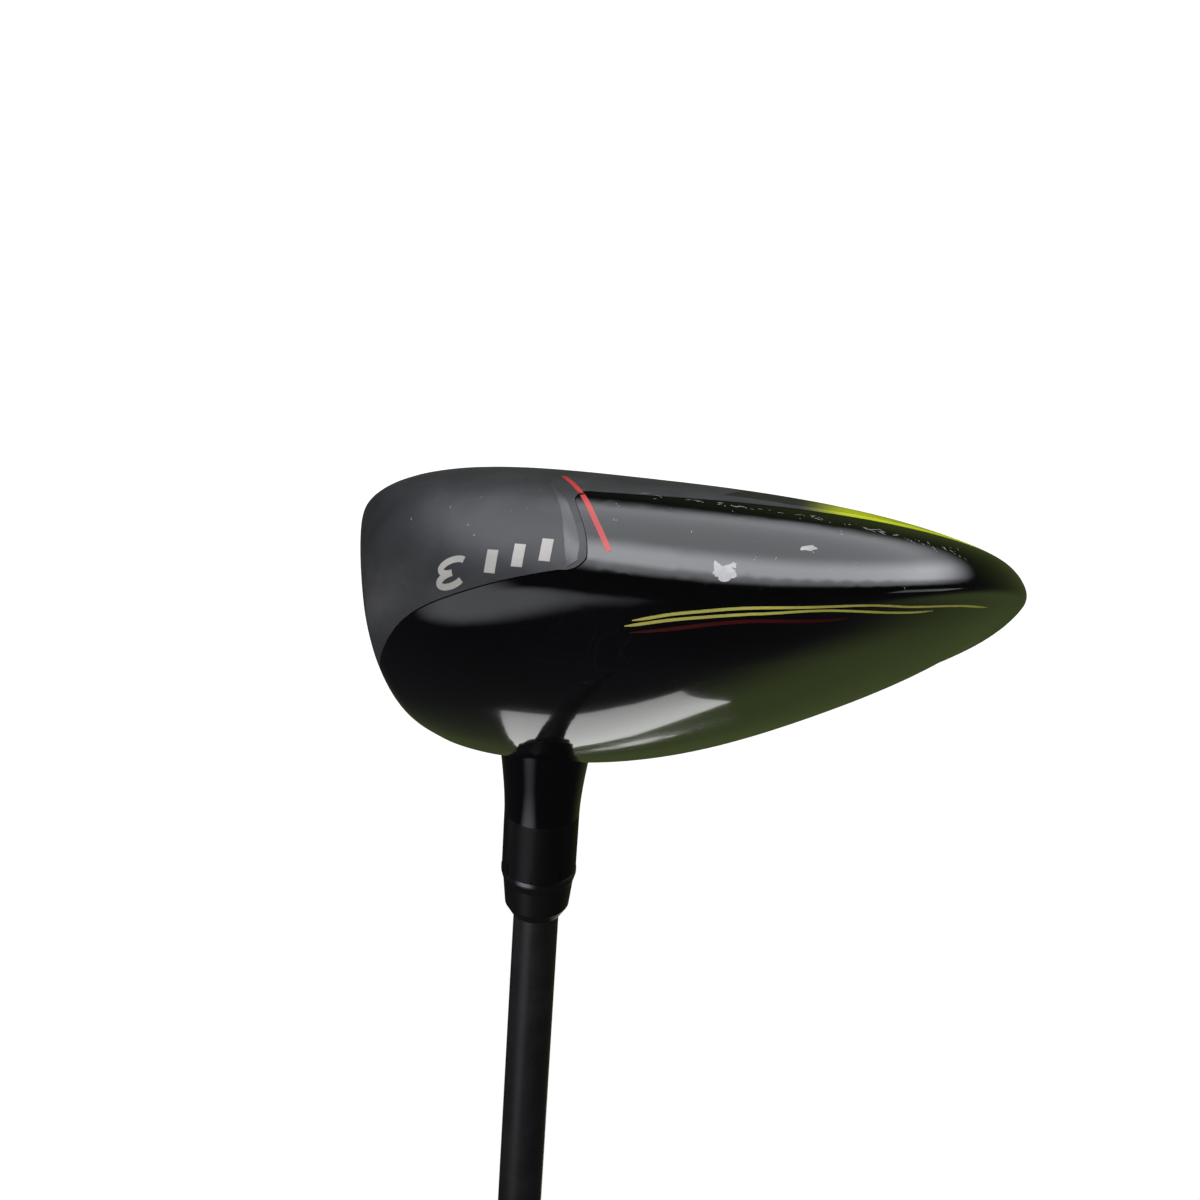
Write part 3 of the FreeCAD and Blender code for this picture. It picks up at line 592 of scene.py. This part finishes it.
class CLUB_OT_hardware_finish(bpy.types.Operator):
    """Finish the bolt, weights, adapter, ring, ferrule and washers"""
    bl_idname = "club.hardware_finish"
    bl_label = "Hardware finish"

    def execute(self, context):
        steel = context.scene.club_finish.steel
        on_shaft = {"centre": SHAFT_FOOT, "axis": SHAFT_AXIS}
        on_weight = {"centre": WEIGHT_CENTRE, "axis": WEIGHT_AXIS}
        weight = turned_metal("weight_steel", steel, pitch=0.16 * MM, roughness=0.28, **on_weight)
        zinc = {"base": (0.05, 0.05, 0.055), "pitch": 0.3 * MM, "roughness": 0.33}
        zinc_bolt = turned_metal("bolt_zinc", **zinc, **on_shaft)
        zinc_screw = turned_metal("screw_zinc", **zinc, **on_weight)
        bright = turned_metal("bright_ring", (0.20, 0.20, 0.21), pitch=0.1 * MM, roughness=0.22, **on_shaft)
        washer = turned_metal("bright_washer", (0.62, 0.62, 0.64), pitch=0.1 * MM, roughness=0.25,
                              **on_weight)
        sleeve = turned_metal("sleeve_anodised", (0.016, 0.016, 0.017), pitch=0.12 * MM, roughness=0.36,
                              metallic=0.6, **on_shaft)
        ferrule = turned_metal("ferrule_plastic", (0.010, 0.010, 0.010), pitch=0.5 * MM, roughness=0.26,
                               metallic=0.0, **on_shaft)
        nylon = paint("retainer_nylon", (0.10, 0.10, 0.11), 0.5, 0.1, 1500.0, 0.01 * MM, 0.0,
                      (0.2, 0.2, 0.2))
        sintered = paint("plug_sintered", (0.30, 0.30, 0.31), 0.55, 0.1, 2600.0, 0.02 * MM, 0.0,
                         (0.4, 0.4, 0.4), metallic=0.9, contrast=1.6)
        cast = paint("cast_weight", (0.32, 0.32, 0.33), 0.4, 0.15, 1800.0, 0.02 * MM, 0.3, (0.5, 0.5, 0.5),
                     metallic=1.0)
        finishes = {
            "rear_weight": weight,
            "front_weight": cast,
            "hosel_bolt": zinc_bolt,
            "rear_weight_screw": zinc_screw,
            "sleeve_ring": bright,
            "bolt_washer": bright,
            "weight_washer": washer,
            "hosel_sleeve": sleeve,
            "ferrule": ferrule,
            "bolt_retainer": nylon,
            "tip_plug": sintered,
        }
        for node, material in finishes.items():
            dress(node, material)
        return {"FINISHED"}


class CLUB_OT_shaft_finish(bpy.types.Operator):
    """Paint the shaft over its fibres, and finish the tape under the grip"""
    bl_idname = "club.shaft_finish"
    bl_label = "Shaft finish"

    def execute(self, context):
        material, tree, shader = surface("shaft_paint", (0.014, 0.014, 0.015), coat=0.25,
                                         coat_roughness=0.2)
        marks = use(tree, turned(), Centre=SHAFT_FOOT, Axis=SHAFT_AXIS, Pitch=1.1 * MM)
        texture = use(tree, grain(), Scale=3800.0)
        dulled = use(tree, smudges(), Base=0.36, Spread=0.12, Dust=0.1)
        wrap = math_node(tree, "MULTIPLY", math_node(tree, "ADD", marks.outputs["Marks"],
                                                     texture.outputs["Tone"]), 0.5)
        tone = mixed(tree, wrap, (0.006, 0.006, 0.007), (0.030, 0.030, 0.032))
        tree.links.new(tone, shader.inputs["Base Color"])
        tree.links.new(dulled.outputs["Roughness"], shader.inputs["Roughness"])
        bump(tree, shader, texture.outputs["Height"], 0.006 * MM)
        dress("shaft_tube", material)
        dress("grip_tape", paint("paper_tape", (0.72, 0.70, 0.63), 0.8, 0.1, 2200.0, 0.03 * MM, 0.0,
                                 (0.6, 0.6, 0.5), contrast=1.15))
        return {"FINISHED"}


# ---- marking operators

def plain_paint(name, base, roughness=0.35, contrast=1.3, wear=0.35):
    """Thin printed paint under a little lacquer."""
    return paint(name, base, roughness, 0.1, 3500.0, 0.004 * MM, wear, scaled(base, 0.45), coat=0.3,
                 contrast=contrast)


class CLUB_OT_pinstripes(bpy.types.Operator):
    """Lay the red stripe and the yellow and dark red lines round the toe"""
    bl_idname = "club.pinstripes"
    bl_label = "Pinstripes"

    def execute(self, context):
        marks = context.scene.club_marks
        crown = tree_of("crown_shell")
        skin = tree_of("crown_shell", "head_body")
        line = marks.line_width
        self.lay("toe_line_upper", UPPER_YELLOW, line, marks.yellow, crown, 0.06)
        self.lay("toe_line_lower", LOWER_YELLOW, line, marks.yellow, crown, 0.06)
        self.lay("toe_line_dark", DARK_RED, line * 1.3, marks.dark_red, crown, 0.2)
        self.lay("toe_stripe_red", RED_STRIPE, marks.stripe_width, marks.red, skin, 0.0)
        return {"FINISHED"}

    def lay(self, name, shares, width, base, tree, sharp):
        path = toe_path(tree, shares)
        work = Patchwork(tree)
        work.strip(path, tapered(len(path), width, sharp))
        work.piece(name, plain_paint(name + "_paint", base), "head", "panel_yellow")


class CLUB_OT_toe_bevel(bpy.types.Operator):
    """Lay the bevel along the joint between the matt front and the gloss skirt, its paint made lighter than
    the matt as a painted highlight
    """
    bl_idname = "club.toe_bevel"
    bl_label = "Toe bevel"

    def execute(self, context):
        body = tree_of("head_body", "crown_shell")
        front = toe_path(body, BEVEL_FRONT)
        back = toe_path(body, BEVEL_BACK)
        rows = 5
        points = []
        faces = []
        for near, far in zip(front, back):
            for i in range(rows):
                share_across = i / (rows - 1)
                spot, normal = on_skin(body, near.lerp(far, share_across))
                rise = PAINT_LIFT + 0.06 * MM * math.sin(share_across * math.pi)
                points.append(spot + normal * rise)
            for end in (far, near):
                spot, normal = on_skin(body, end)
                points.append(spot - normal * PAINT_SINK)
        ring = rows + 2
        for i in range(len(front) - 1):
            for j in range(ring):
                a = i * ring + j
                b = i * ring + (j + 1) % ring
                faces.append((a, b, b + ring, a + ring))
        faces.append(tuple(range(ring))[::-1])
        faces.append(tuple(range(len(points) - ring, len(points))))
        look = context.scene.club_finish
        # Painted highlight: the bevel's colour is the matt colour made 1.9 times lighter, standing in for
        # the light the bevel catches; its lower roughness and thin coat are the real finish.
        bevel_highlight_paint = paint("bevel_painted_highlight", scaled(look.matt, 1.9), 0.26, 0.08, 2600.0, 0.006 * MM, 0.25,
                      (0.16, 0.16, 0.16), coat=0.15, contrast=1.1)
        new_piece("toe_bevel", points, faces, bevel_highlight_paint, "head")
        return {"FINISHED"}


def arc(centre, radius, start, end, steps):
    """Points on an arc in the lettering's plane; angles in degrees."""
    made = []
    for i in range(steps + 1):
        angle = math.radians(start + (end - start) * i / steps)
        made.append((centre[0] + radius * math.cos(angle), centre[1] + radius * math.sin(angle)))
    return made


class CLUB_OT_numeral(bpy.types.Operator):
    """Print the club number and three slanted bars on the toe"""
    bl_idname = "club.numeral"
    bl_label = "Club number"

    lean: FloatProperty(name="Lean", description="How far the strokes lean", default=0.32)

    def execute(self, context):
        marks = context.scene.club_marks
        body = tree_of("head_body")
        start, _ = toe_point(body, *NUMERAL_START)
        across = Vector((0, -math.cos(NUMERAL_RISE), math.sin(NUMERAL_RISE)))
        upward = Vector((0, math.sin(NUMERAL_RISE), math.cos(NUMERAL_RISE)))
        out = Vector((-10 * MM, 0, 0))

        def at(u, v):
            origin = start + across * (u + v * self.lean) + upward * v + out
            return body.ray_cast(origin, Vector((1, 0, 0)))[0]

        work = Patchwork(body)
        bar = marks.bar_height
        pitch = bar * 1.24
        for i in range(3):
            foot = i * pitch
            path = [at(foot, bar * step / 8) for step in range(9)]
            work.strip(path, [marks.stroke * 1.7] * len(path))
        left = 3 * pitch + bar * 0.02
        for stroke in self.three(marks.numeral_height, left):
            path = [at(*pair) for pair in stroke]
            work.strip(path, [marks.stroke] * len(path))
        silver = plain_paint("numeral_silver", marks.silver, 0.4, contrast=1.2, wear=0.6)
        work.piece("club_number", silver, "head", "ring_silver")
        return {"FINISHED"}

    def three(self, height, left):
        """The number 3 as two open bowls that meet in the middle."""
        radius = height / 4
        wide = 2.1
        bowls = []
        for middle, start, end in ((height - radius, 150, -90), (radius, 90, -150)):
            bowl = arc((0.0, middle), radius, start, end, 16)
            bowls.append([(left + (radius + u) * wide, v) for u, v in bowl])
        return bowls


class CLUB_OT_wear(bpy.types.Operator):
    """Chip the paint: two large chips on the toe, and nicks along the skirt's crease and the front"""
    bl_idname = "club.wear"
    bl_label = "Chips and nicks"

    def execute(self, context):
        marks = context.scene.club_marks
        skin = tree_of("crown_shell", "head_body")
        random.seed(marks.seed)
        primer = paint("bare_primer", marks.primer, 0.75, 0.15, 2200.0, 0.05 * MM, 0.8, (0.16, 0.16, 0.15),
                       contrast=2.0)
        chips = Patchwork(skin, 0.02 * MM)
        chips.patch(self.blot(skin, (0.547, 0.53), 1.25 * MM, 1.1 * MM, 0.45, 40), domed=0.02 * MM)
        chips.patch(self.blot(skin, (0.559, 0.503), 0.45 * MM, 0.3 * MM, 0.5, 20))
        chips.patch(self.blot(skin, (0.539, 0.505), 0.22 * MM, 0.3 * MM, 0.5, 16))
        chips.patch(self.blot(skin, (0.647, 0.412), 1.0 * MM, 0.3 * MM, 0.3, 28, turn=-0.25))
        chips.piece("paint_chips", primer, "head", "matt_black")
        nicks = Patchwork(skin, 0.012 * MM)
        crease = toe_path(skin, SKIRT_CREASE)
        for _ in range(marks.nicks):
            self.nick(nicks, skin, crease)
        worn = paint("worn_edge", scaled(marks.primer, 0.75), 0.6, 0.1, 3000.0, 0.02 * MM, 0.0,
                     (0.2, 0.2, 0.2), contrast=1.8)
        nicks.piece("edge_nicks", worn, "head", "matt_black")
        return {"FINISHED"}

    def blot(self, tree, pair, wide, high, rough, count, turn=0.0):
        """An uneven closed outline on the toe."""
        spot, normal = toe_point(tree, *pair)
        side = normal.cross(Vector((0, 0, 1))).normalized()
        up = side.cross(normal)
        outline = []
        for i in range(count):
            angle = 2 * math.pi * i / count
            here = Vector((math.cos(angle) * 1.7, math.sin(angle) * 1.7, wide * 3000))
            swell = 1 + rough * noise.noise(here) * 1.6 + rough * 0.4 * noise.noise(here * 3)
            u = math.cos(angle) * wide * swell
            v = math.sin(angle) * high * swell
            outline.append(spot + side * (u * math.cos(turn) - v * math.sin(turn))
                           + up * (u * math.sin(turn) + v * math.cos(turn)))
        return outline

    def nick(self, work, tree, crease):
        """One short scratch, most of them along the crease and the rest scattered on the toe."""
        crease_share = 0.55
        if random.random() < crease_share:
            spot = crease[int(random.triangular(0, len(crease) - 1, len(crease) * 0.8))].copy()
            spot += Vector((0, random.gauss(0, 0.6), random.gauss(0.1, 0.45))) * MM
            heading = Vector((random.gauss(0, 0.3), 1, random.gauss(0, 0.8)))
            reach = random.uniform(0.15, 1.3) * MM
            width = random.uniform(0.03, 0.09) * MM
        else:
            spot = toe_point(tree, random.uniform(0.1, 0.78), random.uniform(0.28, 0.5))[0]
            heading = Vector((0, random.uniform(-1, 1), random.uniform(-1, 1)))
            reach = random.uniform(0.08, 0.45) * MM
            width = random.uniform(0.04, 0.1) * MM
        step = heading.normalized() * reach / 3
        path = [spot + step * i for i in range(4)]
        work.strip(path, tapered(4, width, 0.4))


class CLUB_OT_shaft_bands(bpy.types.Operator):
    """Put two plain silver bands round the shaft below the grip"""
    bl_idname = "club.shaft_bands"
    bl_label = "Shaft bands"

    def execute(self, context):
        skin = tree_of("shaft_tube")
        start = span("grip")[0]
        silver = plain_paint("band_silver", (0.38, 0.38, 0.38))
        for index, (below, height) in enumerate(((60 * MM, 3 * MM), (66 * MM, 1 * MM))):
            rings = []
            for i in range(5):
                s = start - below + height * i / 4
                proud = 0.12 * MM if 0 < i < 4 else 0.02 * MM
                rings.append((s, radius_at(skin, s) + proud))
            rings += [(rings[-1][0], rings[-1][1] - 0.1 * MM), (rings[0][0], rings[0][1] - 0.1 * MM)]
            points, faces = revolve(rings, 96)
            new_piece(f"shaft_band_{index + 1}", points, faces, silver, "shaft")
        return {"FINISHED"}


# ---- grip

def span(node):
    """Where a node starts and ends along the shaft's axis."""
    places = [(vertex.co - SHAFT_FOOT).dot(SHAFT_AXIS) for vertex in frame["nodes"][node].data.vertices]
    return min(places), max(places)


ACROSS = SHAFT_AXIS.cross(Vector((0, 1, 0))).normalized()
BESIDE = SHAFT_AXIS.cross(ACROSS)


def around_axis(s, radius, angle):
    """A point at a distance along the shaft, off its axis by a radius at an angle."""
    return SHAFT_FOOT + SHAFT_AXIS * s + (ACROSS * math.cos(angle) + BESIDE * math.sin(angle)) * radius


def radius_at(tree, s):
    """The outer radius of a round node at a place along the shaft."""
    start = around_axis(s, 0.1, 0.01)
    centre = SHAFT_FOOT + SHAFT_AXIS * s
    spot = tree.ray_cast(start, (centre - start).normalized())[0]
    return (spot - centre).length


def revolve(rings, count, shape=None):
    """A closed solid from a loop of (distance, radius); shape may change a radius round the axis."""
    points = []
    faces = []
    for s, radius in rings:
        for i in range(count):
            angle = 2 * math.pi * i / count
            change = shape(s, radius, angle) if shape else 0.0
            points.append(around_axis(s, radius + change, angle))
    total = len(rings)
    for k in range(total):
        for i in range(count):
            j = (i + 1) % count
            a = k * count
            b = ((k + 1) % total) * count
            faces.append((a + i, a + j, b + j, b + i))
    return points, faces


class CLUB_OT_grip(bpy.types.Operator):
    """Mould the rubber grip with its crossed grooves, plain collars and vented cap"""
    bl_idname = "club.grip"
    bl_label = "Grip"

    def execute(self, context):
        grip = context.scene.club_grip
        skin = tree_of("grip")
        low, high = span("grip")
        collar = 9 * MM
        cap = 14 * MM
        step = 0.75 * MM
        around = 120
        edge = 0.05 * MM
        stations = [low + edge]
        while stations[-1] + step < high - edge:
            stations.append(stations[-1] + step)
        outer = [(s, radius_at(skin, s)) for s in stations]
        mouth = radius_at(tree_of("grip_tape"), low + 8 * MM) + edge
        vent = 1.2 * MM
        plain_inside = 8 * MM
        rings = [(low, mouth + 0.4 * MM), (low, outer[0][1] - 0.3 * MM)] + outer
        rings += [(high, outer[-1][1] * 0.55), (high, vent * 2.6), (high - 0.4 * MM, vent * 2.2),
                  (high - 0.4 * MM, vent), (high - 4 * MM, vent), (high - 4 * MM, mouth + 0.6 * MM)]
        first_groove = low + collar
        last_groove = high - cap
        rings_at = (low + 3 * MM, low + 5.5 * MM, high - 11 * MM, high - 8.5 * MM)

        def shape(s, radius, angle):
            if radius < plain_inside or s < low + edge / 2:
                return 0.0
            if s < first_groove or s > last_groove:
                near = min(abs(s - place_at) for place_at in rings_at)
                return -grip.groove * 0.8 * max(0.0, 1 - (near / (0.7 * MM)) ** 2)
            return -grip.groove * self.pattern(s - low, angle, grip)

        points, faces = revolve(rings, around, shape)
        rubber = paint("grip_rubber", grip.rubber, 0.58, 0.14, 2400.0, 0.05 * MM, 0.25, (0.05, 0.05, 0.05),
                       contrast=1.35)
        piece = new_piece("grip_moulded", points, faces, rubber, "shaft")
        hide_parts("grip")
        return {"FINISHED"}

    def pattern(self, s, angle, grip):
        """0 on the lands and 1 in the middle of the crossed grooves."""
        turn = angle / (2 * math.pi) * grip.starts
        rise = s / grip.pitch
        half_groove = 0.16
        grooves = 0.0
        for lean in (turn + rise * 0.5, turn - rise * 0.5):
            off = abs(lean - round(lean))
            grooves = max(grooves, 1 - min(1.0, off / half_groove) ** 2)
        return grooves


# ---- studio

# The camera's place in metres, turns in radians and lens in mm; where the tent's light comes from
CAMERA_PLACE = Vector((-0.18189, 0.036326, 0.052909))
CAMERA_YAW = -0.1279
CAMERA_PITCH = 0.2122
CAMERA_ROLL = 0.1438
CAMERA_LENS = 38.09
TENT_AXIS = Vector((-0.72, 0.262, -0.643)).normalized()


def soft_lobe():
    """How close a direction is to an axis, as a smooth cone."""

    def build(tree, given):
        facing = vector_node(tree, "DOT_PRODUCT", given["Direction"], given["Axis"])
        return (ramp(tree, facing, given["Outer"], given["Inner"]),)

    return node_group("Soft lobe", [("Direction", (0.0, 0.0, 1.0)), ("Axis", (0.0, 0.0, 1.0)),
                                    ("Inner", 0.9), ("Outer", 0.5)], ["Light"], build)


def aim(thing, place_at, target):
    """Puts a lamp at a place, facing the target."""
    thing.location = place_at
    thing.rotation_euler = (target - place_at).to_track_quat("-Z", "Y").to_euler()


def direction(azimuth, elevation):
    """A unit vector; azimuth is from +X towards +Y, both in degrees."""
    a = math.radians(azimuth)
    e = math.radians(elevation)
    return Vector((math.cos(e) * math.cos(a), math.cos(e) * math.sin(a), math.sin(e)))


class CLUB_OT_studio(bpy.types.Operator):
    """Set up the floor, the light tent, the soft boxes and the camera at the toe"""
    bl_idname = "club.studio"
    bl_label = "Studio"

    def execute(self, context):
        settings = context.scene.club_studio
        self.camera(context)
        self.floor(settings)
        self.tent(context, settings)
        self.boxes()
        context.scene.view_settings.view_transform = "Standard"
        return {"FINISHED"}

    def camera(self, context):
        """The club hangs with its sole up in the frame, seen from the toe."""
        ahead = Vector((math.cos(CAMERA_PITCH) * math.cos(CAMERA_YAW),
                        math.cos(CAMERA_PITCH) * math.sin(CAMERA_YAW), -math.sin(CAMERA_PITCH)))
        level = ahead.cross(Vector((0, 0, 1))).normalized()
        rise = level.cross(ahead)
        right = -(math.cos(CAMERA_ROLL) * level + math.sin(CAMERA_ROLL) * rise)
        up = math.sin(CAMERA_ROLL) * level - math.cos(CAMERA_ROLL) * rise
        lens = bpy.data.cameras.new("Camera")
        lens.lens = CAMERA_LENS
        lens.sensor_width = 36.0
        lens.clip_start = 0.01
        camera = bpy.data.objects.new("Camera", lens)
        context.scene.collection.objects.link(camera)
        placed = Matrix((right, up, -ahead)).transposed().to_4x4()
        placed.translation = CAMERA_PLACE
        camera.matrix_world = placed
        context.scene.camera = camera

    def floor(self, settings):
        mesh = bpy.data.meshes.new("floor")
        size = 12.0
        corners = [(-size, -size), (size, -size), (size, size), (-size, size)]
        mesh.from_pydata([(x, y, -settings.floor_drop) for x, y in corners], [], [(0, 1, 2, 3)])
        material, tree, shader = surface("studio_floor", (0.86, 0.86, 0.86))
        tint = use(tree, grain(), Scale=60.0)
        shade = mixed(tree, tint.outputs["Tone"], (0.84, 0.84, 0.84), (0.88, 0.88, 0.88))
        tree.links.new(shade, shader.inputs["Base Color"])
        shader.inputs["Roughness"].default_value = 0.9
        shader.inputs["Emission Color"].default_value = (1.0, 1.0, 1.0, 1.0)
        shader.inputs["Emission Strength"].default_value = 1.0
        mesh.materials.append(material)
        floor = bpy.data.objects.new("floor", mesh)
        bpy.context.scene.collection.objects.link(floor)
        floor.visible_glossy = False
        floor.visible_diffuse = False

    def tent(self, context, settings):
        """Soft light from under the toe side, and a dark surround with a little olive in it."""
        world = bpy.data.worlds.new("Light tent")
        context.scene.world = world
        world.use_nodes = True
        tree = world.node_tree
        tree.nodes.clear()
        way = tree.nodes.new("ShaderNodeTexCoord").outputs["Generated"]
        split = tree.nodes.new("ShaderNodeSeparateXYZ")
        tree.links.new(way, split.inputs[0])
        height = split.outputs["Z"]
        cone = use(tree, soft_lobe(), Axis=TENT_AXIS, Inner=0.66, Outer=0.28)
        tree.links.new(way, cone.inputs["Direction"])
        under = ramp(tree, height, -0.22, -0.42)
        streak = math_node(tree, "MULTIPLY", ramp(tree, height, -0.40, -0.50),
                           ramp(tree, height, -0.74, -0.58))
        shine = math_node(tree, "ADD", 1.0, math_node(tree, "MULTIPLY", streak, 1.5))
        tent = math_node(tree, "MULTIPLY", math_node(tree, "MULTIPLY", cone.outputs["Light"], under), shine)
        shoulder = use(tree, soft_lobe(), Axis=direction(-138.0, 43.0), Inner=0.98, Outer=0.86)
        grass = use(tree, soft_lobe(), Axis=direction(15.0, -18.0), Inner=0.97, Outer=0.55)
        tree.links.new(way, shoulder.inputs["Direction"])
        tree.links.new(way, grass.inputs["Direction"])
        tent = math_node(tree, "ADD", tent, math_node(tree, "MULTIPLY", shoulder.outputs["Light"], 0.5))
        green = math_node(tree, "MULTIPLY", grass.outputs["Light"], settings.grass)
        bright = math_node(tree, "MULTIPLY", tent, settings.sky)
        strength = math_node(tree, "ADD", math_node(tree, "ADD", bright, green), settings.ambient)
        tint = mixed(tree, math_node(tree, "DIVIDE", green, strength, clamp=True), (0.93, 0.95, 1.0),
                     (0.60, 0.88, 0.08))
        light = tree.nodes.new("ShaderNodeBackground")
        tree.links.new(tint, light.inputs["Color"])
        tree.links.new(strength, light.inputs["Strength"])
        plain = tree.nodes.new("ShaderNodeBackground")
        plain.inputs["Color"].default_value = (1.0, 1.0, 1.0, 1.0)
        path = tree.nodes.new("ShaderNodeLightPath")
        choose = tree.nodes.new("ShaderNodeMixShader")
        tree.links.new(path.outputs["Is Camera Ray"], choose.inputs[0])
        tree.links.new(light.outputs[0], choose.inputs[1])
        tree.links.new(plain.outputs[0], choose.inputs[2])
        output = tree.nodes.new("ShaderNodeOutputWorld")
        tree.links.new(choose.outputs[0], output.inputs["Surface"])

    def boxes(self):
        """Soft boxes as (name, azimuth, elevation, distance, width, height, radiance, mirrored)."""
        target = Vector((-0.02, 0.02, 0.03))
        rows = [
            ("card_heel", -1.5, 19.5, 1.2, 0.38, 0.40, 0.8, True),
            ("box_front", -88.0, 12.0, 1.2, 0.80, 0.45, 0.9, True),
            ("box_back", 88.0, 8.0, 1.3, 0.70, 0.30, 0.8, True),
            ("fill_toe", -160.0, 10.0, 1.6, 1.0, 1.0, 1.1, False),
            ("fill_top", 150.0, 70.0, 1.6, 1.0, 1.0, 1.6, False),
        ]
        for name, azimuth, elevation, distance, width, height, radiance, mirrored in rows:
            light = bpy.data.lights.new(name, "AREA")
            light.shape = "RECTANGLE"
            light.size = width
            light.size_y = height
            light.energy = radiance * math.pi * width * height
            lamp = bpy.data.objects.new(name, light)
            bpy.context.scene.collection.objects.link(lamp)
            aim(lamp, target + direction(azimuth, elevation) * distance, target)
            lamp.visible_camera = False
            lamp.visible_glossy = mirrored


# ---- panel

OPERATORS = (
    CLUB_OT_head_finish,
    CLUB_OT_hardware_finish,
    CLUB_OT_shaft_finish,
    CLUB_OT_pinstripes,
    CLUB_OT_toe_bevel,
    CLUB_OT_numeral,
    CLUB_OT_wear,
    CLUB_OT_shaft_bands,
    CLUB_OT_grip,
    CLUB_OT_studio,
)

SETTINGS = {
    "club_finish": ClubFinish,
    "club_marks": ClubMarks,
    "club_grip": ClubGrip,
    "club_studio": ClubStudio,
}


class CLUB_PT_panel(bpy.types.Panel):
    """Buttons for every part of the club, and their settings"""
    bl_idname = "CLUB_PT_panel"
    bl_label = "Fairway wood"
    bl_space_type = "VIEW_3D"
    bl_region_type = "UI"
    bl_category = "Club"

    def draw(self, context):
        for operator in OPERATORS:
            self.layout.operator(operator.bl_idname)
        for name, group in SETTINGS.items():
            box = self.layout.box()
            for label in group.__annotations__:
                box.prop(getattr(context.scene, name), label)


def register():
    for group in SETTINGS.values():
        bpy.utils.register_class(group)
    for name, group in SETTINGS.items():
        setattr(bpy.types.Scene, name, PointerProperty(type=group))
    for operator in OPERATORS:
        bpy.utils.register_class(operator)
    bpy.utils.register_class(CLUB_PT_panel)


def unregister():
    bpy.utils.unregister_class(CLUB_PT_panel)
    for operator in reversed(OPERATORS):
        bpy.utils.unregister_class(operator)
    for name in SETTINGS:
        delattr(bpy.types.Scene, name)
    for group in reversed(SETTINGS.values()):
        bpy.utils.unregister_class(group)


def main():
    register()
    for operator in OPERATORS:
        section, name = operator.bl_idname.split(".")
        getattr(getattr(bpy.ops, section), name)()


if __name__ == "__main__":
    main()
